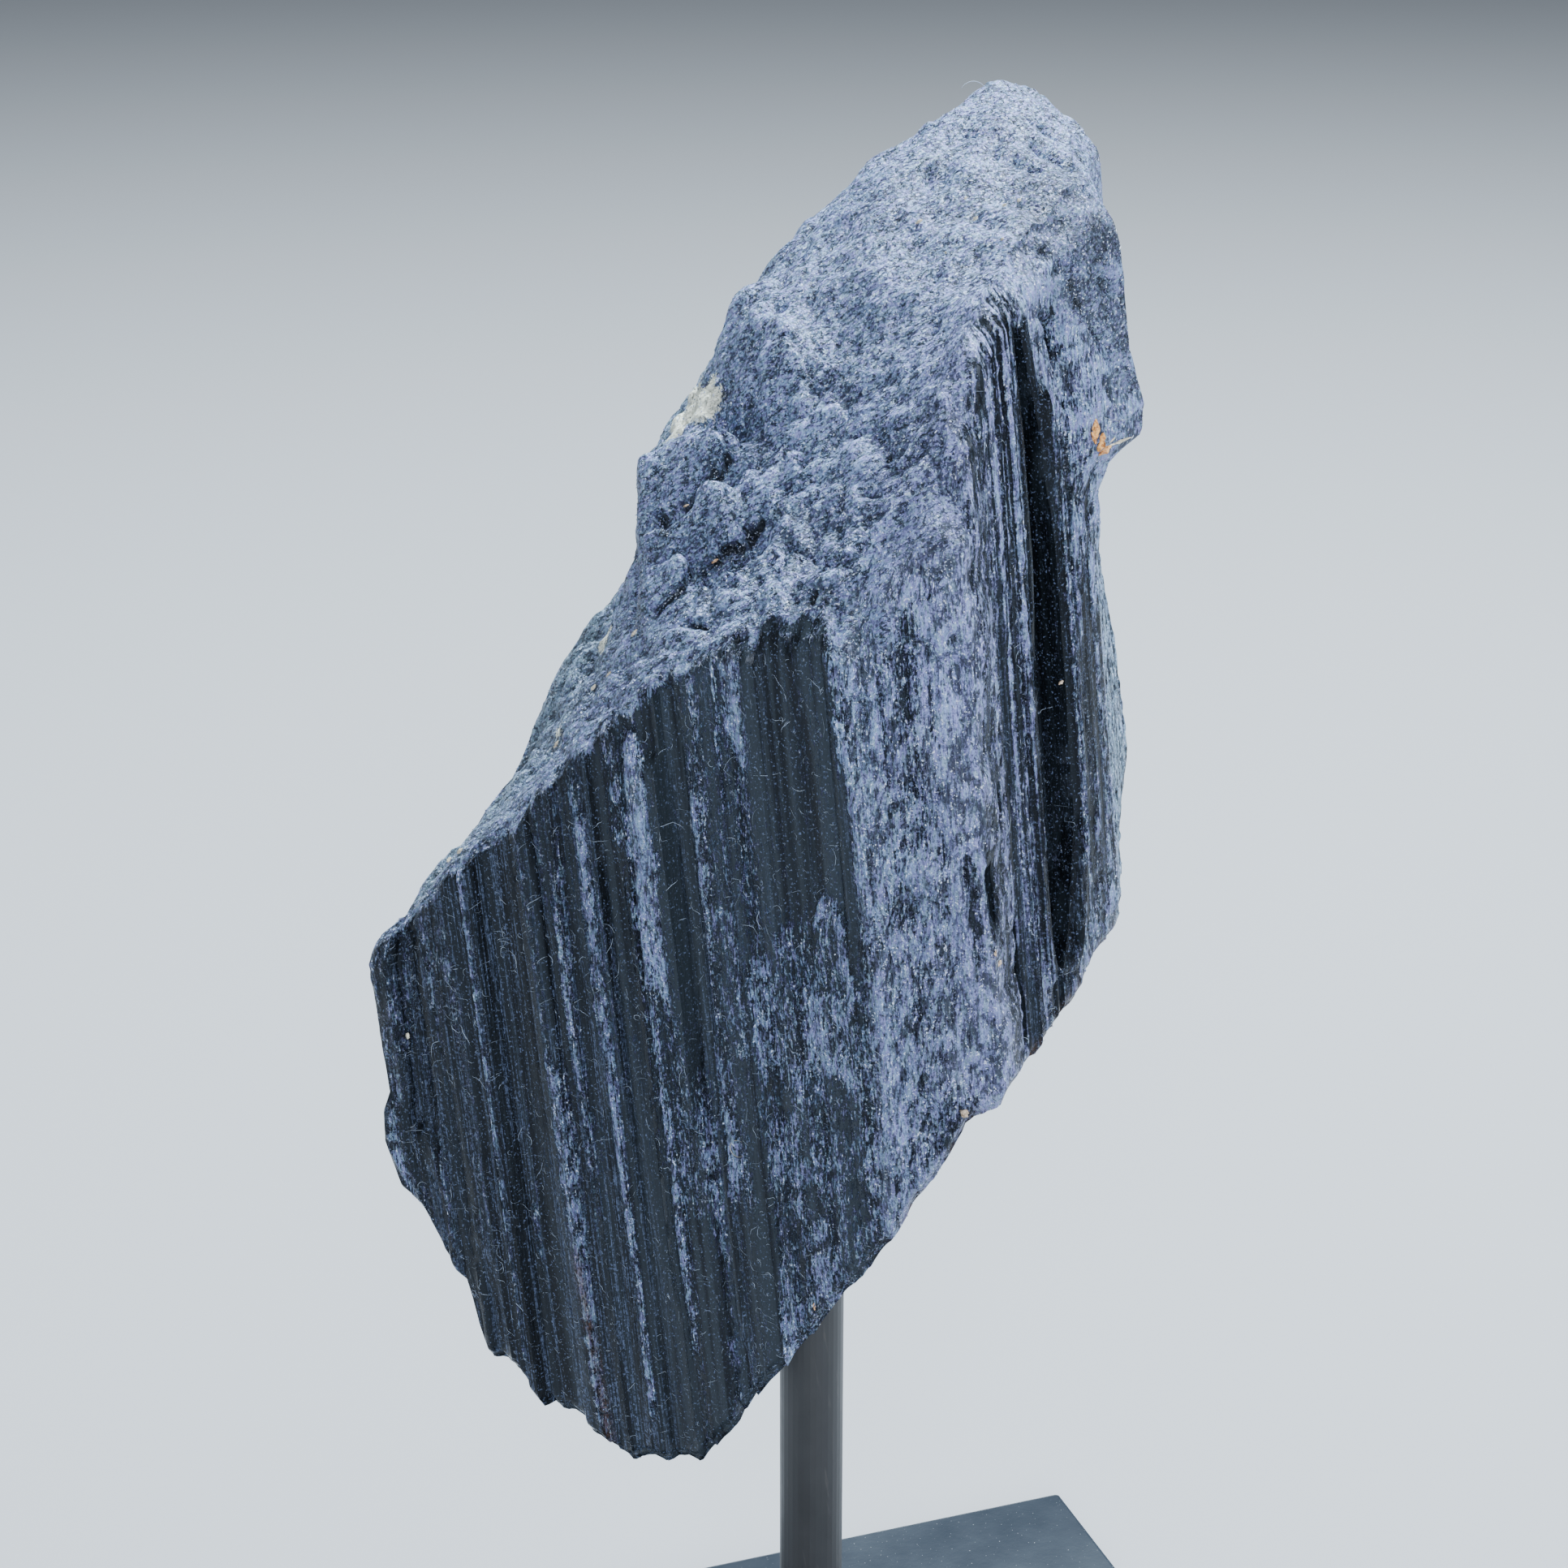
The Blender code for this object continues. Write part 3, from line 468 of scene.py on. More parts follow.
def turn_over(along, below_top, above_foot):
    """How far a face is drawn in near its top and bottom edges."""
    radius = table(along, TURN_OVER)
    top = radius * (1 - smooth_step(below_top / (TURN_DEPTH * radius))) ** 2
    foot = FOOT_TURN * (1 - smooth_step(above_foot / FOOT_TURN_DEPTH)) ** 2
    return top + foot


def thin_plate(points):
    """A smooth surface c(a, b) through given points, as a function of arrays a and b."""
    a, b, c = np.array(points, float).T

    def kernel(da, db):
        """How strongly a point bends the surface at a distance (da, db) from it."""
        squared = da * da + db * db
        return squared * np.log(squared + 1e-9)

    count = len(a)
    system = np.zeros((count + 3, count + 3))
    system[:count, :count] = kernel(a[:, None] - a, b[:, None] - b)
    system[:count, :count] += TOP_SMOOTHING * count * np.eye(count)
    flat = np.column_stack((np.ones(count), a, b))
    system[:count, count:] = flat
    system[count:, :count] = flat.T
    weights = np.linalg.solve(system, np.append(c, np.zeros(3)))

    def surface(at_a, at_b):
        """The surface's level at (a, b)."""
        bent = kernel(at_a[..., None] - a, at_b[..., None] - b) @ weights[:count]
        return bent + weights[count] + weights[count + 1] * at_a + weights[count + 2] * at_b

    return surface


def toe_step(a, b):
    """The lobes' step down at their left end."""
    return table(b, TOE_STEP) * smooth_step((a - TOE_LINE) / TOE_WIDTH + 0.5)


def fold(a, b, start_a, start_b, end_a, end_b, half_width, height):
    """A long rounded ridge, or a crevice where the height is minus, between two points."""
    run = np.array((end_a - start_a, end_b - start_b))
    along = ((a - start_a) * run[0] + (b - start_b) * run[1]) / (run @ run)
    near = np.clip(along, 0, 1)
    away = np.hypot(a - start_a - near * run[0], b - start_b - near * run[1])
    return height * np.exp(-((away / half_width) ** 2))


def plain_top():
    """The top's smooth surface, without the lobes' step and the folds."""
    a, b, c = np.array(TOP_POINTS, float).T
    return thin_plate(np.column_stack((a, b, c - toe_step(a, b))))


PLAIN_TOP = plain_top()


def pit_places():
    """Small holes scattered over the break: (a, b), radius and depth."""
    rng = np.random.default_rng(PIT_SEED)
    a, b = rng.uniform(-13, 27, PIT_TRIES), rng.uniform(-21, 12, PIT_TRIES)
    chance = table(PLAIN_TOP(a, b), PIT_CHANCE)
    kept = rng.uniform(0, 1, PIT_TRIES) < chance * (a + b > -27)
    size = rng.uniform(0.3, 0.6, PIT_TRIES)
    return np.column_stack((a, b, size, rng.uniform(0.8, 2.2, PIT_TRIES) * size))[kept]


PITS = pit_places()


def pits(a, b):
    """How deep the small holes go at (a, b)."""
    depth = np.zeros_like(a)
    for pit_a, pit_b, size, deep in PITS:
        near = np.abs(a - pit_a) + np.abs(b - pit_b) < 4 * size
        away = ((a[near] - pit_a) ** 2 + (b[near] - pit_b) ** 2) / size**2
        depth[near] += deep * np.exp(-away)
    return depth


def fibres(a, b, c):
    """Noise drawn out along the fibres of the break."""
    points = np.column_stack((a, b, c))
    x, y = points @ FIBRE, points @ FIBRE_SIDE
    coarse = flat_field(x, y, (5.0, 1.1), GRAIN_SEED)
    fine = flat_field(x, y, (2.2, 0.6), GRAIN_SEED + 1)
    rough = flat_field(a, b, (2.4, 2.4), GRAIN_SEED + 4)
    return 0.34 * coarse + 0.24 * fine + 0.34 * table(PLAIN_TOP(a, b), ROUGH_BREAK) * rough


def top_level(a, b):
    """The level of the break across the top."""
    level = PLAIN_TOP(a, b) + toe_step(a, b) + lumps(a, b)
    level = folded(level, a, b, TOP_FOLDS + FINE_FOLDS)
    return level + fibres(a, b, level) - pits(a, b) - TOP_SUNK


def top_crest(a, b):
    """How far each place on the break stands out of its surroundings, from -1 to 1."""
    # The material paints this value as shade in the pits and hollows and as light on the crests.
    height = 1.6 * fibres(a, b, PLAIN_TOP(a, b)) - 2.2 * pits(a, b)
    for share, shapes in ((0.16, TOP_FOLDS), (0.4, FINE_FOLDS)):
        for shape in shapes:
            height = height + share * fold(a, b, *shape)
    return np.clip(height, -1, 1)


def crevices(points, normals):
    """How deep the narrow crevices and slits of the break go at each point."""
    depth = np.zeros(len(points))
    x, y, z = points.T
    shifts = [field(x, y, z, (1.3, 1.3, 1.3), GRAIN_SEED + 9 + axis) for axis in range(3)]
    points = points + 0.38 * np.column_stack(shifts)
    fading = 0.85 + 0.4 * field(x, y, z, (2.2, 2.2, 2.2), GRAIN_SEED + 12)
    for half_width, deep, path in CREVICES:
        path = np.array(path, float)
        for start, end in zip(path[:-1], path[1:]):
            run = end - start
            near = np.clip((points - start) @ run / (run @ run), 0, 1)
            offset = points - start - near[:, None] * run
            beyond = (offset * normals).sum(axis=1)
            away = np.linalg.norm(offset - 0.9 * beyond[:, None] * normals, axis=1)
            depth = np.maximum(depth, deep * np.exp(-((away / half_width) ** 2)))
    return depth * fading


def folded(level, a, b, shapes):
    """A level with folds added to it."""
    for shape in shapes:
        level = level + fold(a, b, *shape)
    return level


def smooth_top(a, b):
    """The level of the top without its noise, pits and fine folds."""
    return folded(PLAIN_TOP(a, b) + toe_step(a, b), a, b, TOP_FOLDS)


def top_normals(a, b):
    """The smooth top's upward directions, from its slopes over a short distance."""
    reach = 0.3
    slope_a = (smooth_top(a + reach, b) - smooth_top(a - reach, b)) / (2 * reach)
    slope_b = (smooth_top(a, b + reach) - smooth_top(a, b - reach)) / (2 * reach)
    return unit(np.column_stack((-slope_a, -slope_b, np.ones(len(a)))))


def roughened(points, rim, crest):
    """The break's points moved square to its steep parts by its fibres and crevices."""
    a, b, c = points.T
    normals = top_normals(a, b)
    x, y, z = points @ FIBRE, points @ FIBRE_SIDE, points @ np.cross(FIBRE, FIBRE_SIDE)
    long = field(x, y, z, (3.4, 1.0, 1.0), GRAIN_SEED + 6)
    short = field(x, y, z, (1.5, 0.55, 0.55), GRAIN_SEED + 7)
    valley = 1 - smooth_step(np.abs(field(x, y, z, (3.0, 1.4, 1.4), GRAIN_SEED + 8)) / 0.22)
    steep = fall(normals[:, 2], 0.95, 0.3)
    lobes = fall(a, 0.5, 3) * fall(c, 48, 2) * rise(c, 32, 2)
    calm = (1 - 0.35 * lobes) * (1 - 0.5 * rise(c, 50, 6))
    height = (0.24 * long + 0.20 * short - 0.34 * valley) * (0.25 + 0.75 * steep) * calm
    gash = crevices(points, normals)
    to_rim = [np.linalg.norm(points[rows, None] - rim, axis=2).min(axis=1) for rows in chunks(len(a))]
    keep = smooth_step(np.concatenate(to_rim) / RIM_KEEP)
    moved = points + normals * ((height - gash) * keep)[:, None]
    # The crest value, painted as shade in hollows and light on crests, is lowest in the deep crevices.
    crest = np.clip(0.6 * calm * crest + 1.5 * height, -1, 1) - 2.6 * np.clip(gash - 0.3, 0, 0.7)
    return moved, crest


def striation(along, level):
    """How far a face's texture is drawn out into fine upright lines, from 0 to 1."""
    return table(along, STRIATED) * (1 - rise(level, 44, 5) * rise(along, 78.5, 1.5))


def foot_level(a, b):
    """The level of the break across the foot, with its ragged ends of columns."""
    front_b = np.interp(a, CORNERS[:4, 0], CORNERS[:4, 1])
    points = np.column_stack((a / FOOT_CELL, b / FOOT_CELL, np.zeros_like(a)))
    amount = table(a, FOOT_RAGGED)
    ragged = amount * lattice_noise(points, FOOT_SEED)
    ragged = ragged + 0.35 * amount * lattice_noise(points * 2.6, FOOT_SEED + 1)
    return table(a, FOOT_EDGE) + FOOT_RISE * (b - front_b) + ragged


def ledges(seed, narrow, wide):
    """A stepped profile round the outline: places and heights of flat, slightly tilted strips."""
    rng = np.random.default_rng(seed)
    widths = rng.uniform(narrow, wide, int(2 * AROUND / (narrow + wide)) + 40)
    ends = np.cumsum(widths)
    ends = ends[ends < AROUND - 1]
    height = rng.normal(0, 0.12, len(ends) + 1)
    tilt = rng.normal(0, 0.10, len(ends) + 1)
    places = np.column_stack((np.append(0, ends) + 0.05, np.append(ends, AROUND) - 0.05)).ravel()
    return places, np.column_stack((height - tilt, height + tilt)).ravel()


LEDGES = (ledges(LEDGE_SEED, 0.5, 1.5), ledges(LEDGE_SEED + 1, 0.7, 2.6))


def stepped(place, along, level):
    """The fine striae: two stepped profiles that take turns up and down the faces."""
    turn = smooth_step(0.5 + 1.4 * flat_field(along, level, (3.0, 21.0), LEDGE_SEED))
    first = np.interp(place, *LEDGES[0])
    return turn * first + (1 - turn) * np.interp(place, *LEDGES[1])


def crusted(along, level, below_top):
    """1 where the break's granular crust covers a face, 0 where the face is bare."""
    ragged = 0.5 * flat_field(along, level, (1.1, 1.6), WOBBLE_SEED + 3)
    drip = 0.45 * flat_field(along, level, (1.7, 9.0), WOBBLE_SEED + 4)
    return smooth_step(1.0 - below_top / table(along, SPILL) + ragged + drip)


def away_from_corners(along):
    """0 at the outline's corners, rising to 1 beside them."""
    return smooth_step(apart(along[:, None], FACE_STARTS[:-1]).min(axis=1) / CORNER_KEEP)


def plain_wear(along, level):
    """How worn the faces are, apart from their strips and streaks."""
    low_part = fall(level, -18, 14) * fall(along, 51, 2)
    low_crust = fall(level, -3, 8) * rise(along, 51, 1) * fall(along, 64, 2)
    upper_right = rise(level, 41, 6) * rise(along, 73.5, 3)
    wear = table(along, WORN) - (0.18 - 0.12 * rise(along, 40, 4)) * low_part
    wear = wear - 0.20 * low_crust
    wear = wear + 0.20 * upper_right * fall(along, 100, 8)
    return wear + 0.18 * rise(level, 38, 8) * rise(along, 65, 3)


def with_strips(place, end, thin, patch, wear, height):
    """Wear and height once the faces' strips are laid over them."""
    for face_start, strips in STRIP_FACES:
        for start, stop, low, high, raised, worn in strips:
            inside = strip(place, end, face_start + start, face_start + stop, low, high)
            wear = wear + (worn + 0.17 * thin + 0.06 * patch - wear) * inside
            height = height + raised * inside
    return wear, height


def with_comb(along, place, level, wear, height):
    """Wear and height with the fine even ribs beside the trench, and the ribs' waves."""
    start, stop, spacing, low = COMB
    ribbed = strip(place, level, start, stop, low, 90)
    combed = np.cos(2 * math.pi * (along - start) / spacing) * ribbed
    share = rise(level, 36, 14)
    wear = wear + (0.16 + 0.14 * share) * combed + 0.08 * share * ribbed
    return wear, height + 0.08 * combed, combed


def with_scars(place, level, end, wear, height):
    """Wear and height with the pale scars, and how deep the slits go, which the crest value paints dark as
    shade.
    """
    gash = np.zeros_like(place)
    for *ends, half_width, raised in SCARS:
        scar = fold(place, level if raised < 0 else end, *ends, half_width, 1.0)
        if raised > 0:
            wear = wear + (1 - wear) * scar
            height = height + raised * scar
        else:
            gash = np.maximum(gash, -raised * scar)
    return wear, height, gash


def wall_look(along, level, below_top):
    """Extra height, wear and standing-out of the strips, streaks and grains of the faces."""
    wobble = 0.12 * flat_field(along * 0.2, level, (1, 9.0), WOBBLE_SEED)
    ragged = 0.06 * flat_field(along, level, (0.7, 1.1), WOBBLE_SEED + 1)
    place = along + wobble + ragged
    end = level + 2.2 * flat_field(along, level, (0.9, 6.0), WOBBLE_SEED + 2)
    streak = flat_field(along, level, (1.5, 26.0), STREAK_SEED)
    thin = flat_field(along, level, (0.75, 14.0), STREAK_SEED + 1)
    patch = flat_field(along, level, (4.0, 9.0), PATCH_SEED)
    base = plain_wear(along, level)
    calm = 1 - 0.8 * rise(base, 0.7, 0.15)
    wear = base + calm * (0.30 * streak + 0.3 * thin + 0.15 * patch)
    height = 0.10 * streak + 0.07 * thin + stepped(place, along, level)
    wear, height = with_strips(place, end, thin, patch, wear, height)
    wear, height, combed = with_comb(along, place, level, wear, height)
    wear, height, gash = with_scars(place, level, end, wear, height)
    crust = crusted(along, level, below_top)
    wear = np.clip(wear + (0.85 + 0.15 * patch - wear) * crust, 0, 1)
    height = height * (1 - 0.8 * crust)
    grain = flat_field(along, level, (0.9, 1.4), GRAIN_SEED + 2)
    fine = flat_field(along, level, (0.5, 0.7), GRAIN_SEED + 3)
    height = height + (0.11 * grain + 0.15 * fine - 0.04) * smooth_step(wear * 1.3)
    height = (height - gash) * smooth_step(below_top / 0.8 + 0.15)
    height = np.where(height < 0, height * away_from_corners(along), height)
    # The crest value, painted as shade in hollows and light on crests, is lowest in the slits.
    crest = np.clip(0.6 * grain + 1.1 * fine + 0.5 * combed, -1, 1)
    return height, wear, crest - 3 * np.clip(gash - 0.15, 0, 0.5)


def face_points(along, level, below_top, above_foot):
    """(a, b) of the finished faces, how worn they are and how far their grains stand out."""
    place = beside_trench(along, level)
    a, b = section(place, level)
    extra, wear, crest = wall_look(along, level, below_top)
    out = relief(along, level, below_top) + extra - turn_over(along, below_top, above_foot)
    na, nb = outward(place)
    return a + out * na, b + out * nb, wear, crest


def edge_of(along, surface, top):
    """Where each column meets a break: its level, found by stepping along the column."""
    level = surface(*section(along, np.zeros_like(along)))
    far = np.full_like(along, 100.0)
    near = np.zeros_like(along)
    for _ in range(EDGE_ROUNDS):
        below_top, above_foot = (near, far) if top else (far, near)
        level = surface(*face_points(along, level, below_top, above_foot)[:2])
    return level


def column_places():
    """Distances round the outline at which a column of the wall mesh stands."""
    stretches = (
        (FRONT_START, CRUST_FACE, FRONT_STEP), (CRUST_FACE, RIGHT_START, CRUST_STEP),
        (RIGHT_START, COMB[0], RIGHT_STEP), (COMB[0], COMB[1], COMB[2] / 4),
        (COMB[1], SLITS_START, RIGHT_STEP), (SLITS_START, BACK_START, RIGHT_STEP / 2),
        (BACK_START, BACK_LEFT_START, CORNER_STEP), (BACK_LEFT_START, AROUND, BACK_STEP),
    )
    places = [
        np.linspace(start, end, round((end - start) / step), endpoint=False)
        for start, end, step in stretches
    ]
    for face_start, ribs in RIBBED_FACES:
        sides = np.array([rib[:2] for rib in ribs])
        corners = sides + np.array(((RIB_EDGE, -RIB_EDGE),))
        places += [face_start + sides.ravel(), face_start + corners.ravel()]
    places = np.sort(np.concatenate(places) % AROUND)
    return places[np.append(True, np.diff(places) > CLOSEST_COLUMNS)]


def inside_loop(points, loop, margin):
    """Which points lie inside a closed loop and at least the margin away from it."""
    start, end = loop, np.roll(loop, -1, axis=0)
    run = end - start
    square = (run * run).sum(axis=1)
    slope = run[:, 0] / np.where(run[:, 1] == 0, 1e-9, run[:, 1])
    kept = np.zeros(len(points), bool)
    for rows in chunks(len(points)):
        some = points[rows]
        offset = some[:, None] - start
        along = np.clip((offset * run).sum(axis=2) / square, 0, 1)
        away = np.linalg.norm(offset - along[..., None] * run, axis=2).min(axis=1)
        above = (start[:, 1] > some[:, None, 1]) != (end[:, 1] > some[:, None, 1])
        crossing = some[:, None, 0] < start[:, 0] + (some[:, None, 1] - start[:, 1]) * slope
        odd = (above & crossing).sum(axis=1) % 2 == 1
        kept[rows] = odd & (away > margin)
    return kept


def steep_level(points):
    """How far the mesh of the top is pulled apart at (a, b) points: more where it is higher."""
    a, b = points.T
    return STEEPNESS * np.minimum(PLAIN_TOP(a, b) + toe_step(a, b), STEEP_BELOW)


def unfolded(points):
    """(a, b) points of the top break pulled apart where it is steep, for an even mesh."""
    return points + steep_level(points)[:, None] * UPHILL


def folded_back(points):
    """The (a, b) points that unfold to these."""
    low = np.full(len(points), -STEEP_BELOW)
    high = -low
    for _ in range(HALVINGS):
        middle = (low + high) / 2
        short = middle < steep_level(points - middle[:, None] * UPHILL)
        low, high = np.where(short, middle, low), np.where(short, high, middle)
    return points - low[:, None] * UPHILL


def cap_grid(loop, step):
    """Points of a jittered triangular grid over a loop's box."""
    low, high = loop.min(axis=0), loop.max(axis=0)
    rows = np.arange(low[1], high[1], step * math.sqrt(3) / 2)
    grid = [
        (a + (row % 2) * step / 2, b)
        for row, b in enumerate(rows)
        for a in np.arange(low[0], high[0], step)
    ]
    jitter = np.random.default_rng(CAP_SEED).uniform(-CAP_JITTER, CAP_JITTER, (len(grid), 2))
    return np.array(grid) + jitter * step


def cap(loop, step, hole=None):
    """Triangles that fill a loop of (a, b) points: the points added inside it, and the faces."""
    grid = cap_grid(loop, step)
    inner = grid[inside_loop(grid, loop, RIM_CLEARANCE * step)]
    loops = [list(range(len(loop)))]
    fixed = loop
    if hole is not None:
        grown = hole.mean(axis=0) + (hole - hole.mean(axis=0)) * HOLE_CLEARANCE
        inner = inner[~inside_loop(inner, grown, 0)]
        loops.append(list(range(len(loop), len(loop) + len(hole))))
        fixed = np.vstack((loop, hole))
    edges = [(one[i], one[(i + 1) % len(one)]) for one in loops for i in range(len(one))]
    points = np.vstack((fixed, inner))
    found = geometry.delaunay_2d_cdt([tuple(p) for p in points], edges, [], 0, 1e-7)
    came_from = [sources[0] if sources else -1 for sources in found[3]]
    crossings = [place for place, source in enumerate(came_from) if source < 0]
    for extra, place in enumerate(crossings):
        came_from[place] = len(points) + extra
    if crossings:
        added = np.array([found[0][place] for place in crossings])
        points, inner = np.vstack((points, added)), np.vstack((inner, added))
    faces = np.array([[came_from[corner] for corner in face] for face in found[2]])
    middles = points[faces].mean(axis=1)
    kept = inside_loop(middles, loop, 0)
    if hole is not None:
        kept &= ~inside_loop(middles, hole, 0)
    return inner, faces[kept]


def post_ring(sides):
    """Rings of points (a, b, c) round the post: where it meets the foot, and at the bore's end."""
    to_stone = STONE_FRAME.inverted()
    start = np.array(to_stone @ Vector((0, 0, 0))) / MM
    axis = np.array(to_stone.to_3x3() @ Vector((0, 0, 1)))
    side = np.array(to_stone.to_3x3() @ Vector((1, 0, 0)))
    turn = np.linspace(0, 2 * math.pi, sides, endpoint=False)
    radius = POST_RADIUS + FIT_GAP
    ring = np.cos(turn)[:, None] * side + np.sin(turn)[:, None] * np.cross(axis, side)
    ring = start + radius * ring
    height = np.full(sides, 60.0)
    for _ in range(MOUTH_ROUNDS):
        at = ring + height[:, None] * axis
        height += 0.7 * (foot_level(at[:, 0], at[:, 1]) - at[:, 2]) / axis[2]
    return ring + height[:, None] * axis, ring + (POST_TOP + FIT_GAP) * axis


def band(low, high):
    """Triangles between two closed rings of point numbers."""
    next_low, next_high = np.roll(low, -1), np.roll(high, -1)
    return [np.column_stack((low, next_low, next_high)), np.column_stack((low, next_high, high))]


class Gathered:
    """Points and triangles of the stone, gathered piece by piece.

    Each point has four measures: how worn it is, how far it stands out, its kind (0 faces,
    1 top, 2 foot) and its distance round the outline.
    """

    def __init__(self):
        """Starts with nothing."""
        self.points, self.measures, self.triangles = [], [], []
        self.total = 0

    def add(self, points, wear=0.0, crest=0.0, kind=0.0, around=0.0):
        """Adds points and gives back their numbers."""
        count = len(points)
        measures = np.broadcast_arrays(np.zeros(count), wear, crest, kind, around)[1:]
        self.points.append(points)
        self.measures.append(np.column_stack(measures))
        self.total += count
        return np.arange(self.total - count, self.total)


def add_walls(made, along, top, foot):
    """Adds the faces: each row's point numbers, and where the crust covers the points."""
    rows, spill = [], []
    for share in np.linspace(0, 1, WALL_ROWS):
        share -= CLOSER_ENDS * math.sin(2 * math.pi * share)
        level = foot + share * (top - foot)
        a, b, wear, crest = face_points(along, level, top - level, level - foot)
        rows.append(made.add(np.column_stack((a, b, level)), wear, crest, around=along))
        spill.append(crusted(along, level, top - level))
    for low, high in zip(rows[:-1], rows[1:]):
        made.triangles += band(low, high)
    return rows, np.concatenate(spill)


def add_top(made, rim, loop):
    """Adds the break across the top inside its rim."""
    inner, faces = cap(unfolded(loop[:, :2]), TOP_STEP)
    inner = folded_back(inner)
    placed = np.column_stack((inner, top_level(*inner.T)))
    placed, crest = roughened(placed, loop, top_crest(*inner.T))
    numbers = made.add(placed, 0.9, crest, kind=1)
    made.triangles.append(np.append(rim, numbers)[faces])


def add_foot(made, rim, loop):
    """Adds the break across the foot and the bore in it, which is closed at its end."""
    mouth, roof = post_ring(POST_SIDES)
    inner, faces = cap(loop[:, :2], FOOT_STEP, mouth[:, :2])
    low = made.add(mouth, kind=2)
    numbers = made.add(np.column_stack((inner, foot_level(*inner.T))), 0.5, kind=2)
    made.triangles.append(np.concatenate((rim, low, numbers))[faces][:, ::-1])
    high = made.add(roof, kind=2)
    tip = made.add(roof.mean(axis=0)[None], kind=2)
    next_low, next_high = np.roll(low, -1), np.roll(high, -1)
    made.triangles.append(np.column_stack((low, high, next_low)))
    made.triangles.append(np.column_stack((next_low, high, next_high)))
    made.triangles.append(np.column_stack((high, np.repeat(tip, POST_SIDES), next_high)))


def stone_surface():
    """The stone's points, triangles and measures, how broken it is, and its columns' edges."""
    along = column_places()
    top, foot = edge_of(along, top_level, True), edge_of(along, foot_level, False)
    made = Gathered()
    rows, spill = add_walls(made, along, top, foot)
    add_top(made, rows[-1], made.points[-1])
    add_foot(made, rows[0], made.points[0])
    measures = np.vstack(made.measures).T.copy()
    broken = (measures[2] > 0).astype(float)
    broken[: len(spill)] = spill
    return np.vstack(made.points), np.vstack(made.triangles), measures, broken, (along, top, foot)


def blob(points, centre, radius):
    """1 at a centre, fading to 0 at about twice the radius."""
    away = np.linalg.norm((points - np.array(centre)) / np.array(radius), axis=1)
    return np.exp(-(away**2))


def stains(points, kind):
    """Tints over the whole stone: purple, green, cream and brown."""
    a, b, c = points.T
    top = kind == 1
    patch = lattice_noise(points / 3.0, PATCH_SEED + 1)
    fine = lattice_noise(points / 1.1, PATCH_SEED + 2)
    ridge = np.exp(-(((a - 16) / 7) ** 2) - ((b + 20) / 9) ** 2)
    back = rise(a, 22, 4) * fall(c, 36, 4) * rise(b, -6, 6)
    edge = top * smooth_step((b - 6 - 0.15 * (a + 10)) / 3) * fall(a, 4, 5)
    left = top * fall(a, -13, 3) * rise(b, -3, 4)
    green = back + 0.8 * edge + 0.6 * left + 0.25 * patch * (back + left)
    cream = sum(amount * blob(points, *spot) for amount, *spot in CREAM_SPOTS)
    low = smooth_step((table(a, FOOT_EDGE) + 2.2 - c) / 2.4) * rise(a, 2, 5)
    brown = np.clip(low * (0.5 + 0.7 * patch), 0, 1)
    rust = np.exp(-(((a + 23.9 + 0.05 * (c + 30)) / 0.35) ** 2)) * (b < -2)
    return {
        "purple": np.clip(ridge * 1.1 + 0.35 * patch, 0, 1),
        "green": np.clip(green, 0, 1),
        "cream": np.clip(cream + 0.5 * fine * (cream > 0.15), 0, 1),
        "brown": np.clip(np.maximum(brown, rust * fall(c, -24, 4) * 0.8), 0, 1),
    }


def paleness_and_painted_light(points, broken, wear):
    """How pale the frosted surfaces are, from 0 to 1, over the whole stone: paler where worn, in random
    patches, and with painted light.
    """
    a, b, c = points.T
    # Painted light: the break is paler higher up; the next term darkens its right front.
    on_break = table(c, PAINTED_LIGHT_BY_LEVEL) - 0.55 * rise(a, 20, 4) * fall(b, 1, 5)
    # Worn faces are paler; the other terms paint light on the faces' upper right part and at the lower
    # right back.
    on_walls = 0.24 + 0.50 * wear**2 + 0.22 * rise(c, 22, 10) * rise(a, 2, 3)
    on_walls = on_walls + 0.35 * rise(a, 25, 3) * fall(c, 38, 6)
    level = on_walls + (on_break - on_walls) * broken
    patch = lattice_noise(points / 5.5, PATCH_SEED + 5)
    clumps = lattice_noise(points / 2.2, PATCH_SEED + 6)
    # Darker towards the bottom of the break across the foot, with stronger patches there.
    low = broken * fall(c, 0, 10)
    level = level + (0.06 + 0.16 * low) * patch + (0.05 + 0.06 * low) * clumps
    return np.clip(level - 0.06 * low, 0, 1)


def add_attributes(mesh, **measures):
    """Numbers on a mesh's points, which its material reads."""
    for name, values in measures.items():
        attribute = mesh.attributes.new(name, "FLOAT", "POINT")
        attribute.data.foreach_set("value", np.asarray(values, np.float32))


def add_object(name, data):
    """A new object in the scene."""
    made = bpy.data.objects.new(name, data)
    bpy.context.scene.collection.objects.link(made)
    return made


def mesh_from(name, points, triangles):
    """A mesh from points in the stone's own millimetres and triangles."""
    mesh = bpy.data.meshes.new(name)
    mesh.vertices.add(len(points))
    placed = points * MM @ STONE_AXES.T + STONE_ORIGIN
    mesh.vertices.foreach_set("co", placed.astype(np.float32).ravel())
    mesh.loops.add(3 * len(triangles))
    mesh.loops.foreach_set("vertex_index", triangles.astype(np.int32).ravel())
    mesh.polygons.add(len(triangles))
    mesh.polygons.foreach_set("loop_start", np.arange(0, 3 * len(triangles), 3, dtype=np.int32))
    mesh.update(calc_edges=True)
    return mesh


def stone_piece(name, mesh, material):
    """An object of the stone, which rides with it."""
    made = add_object(name, mesh)
    mesh.materials.append(material)
    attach(made, "root")
    return made


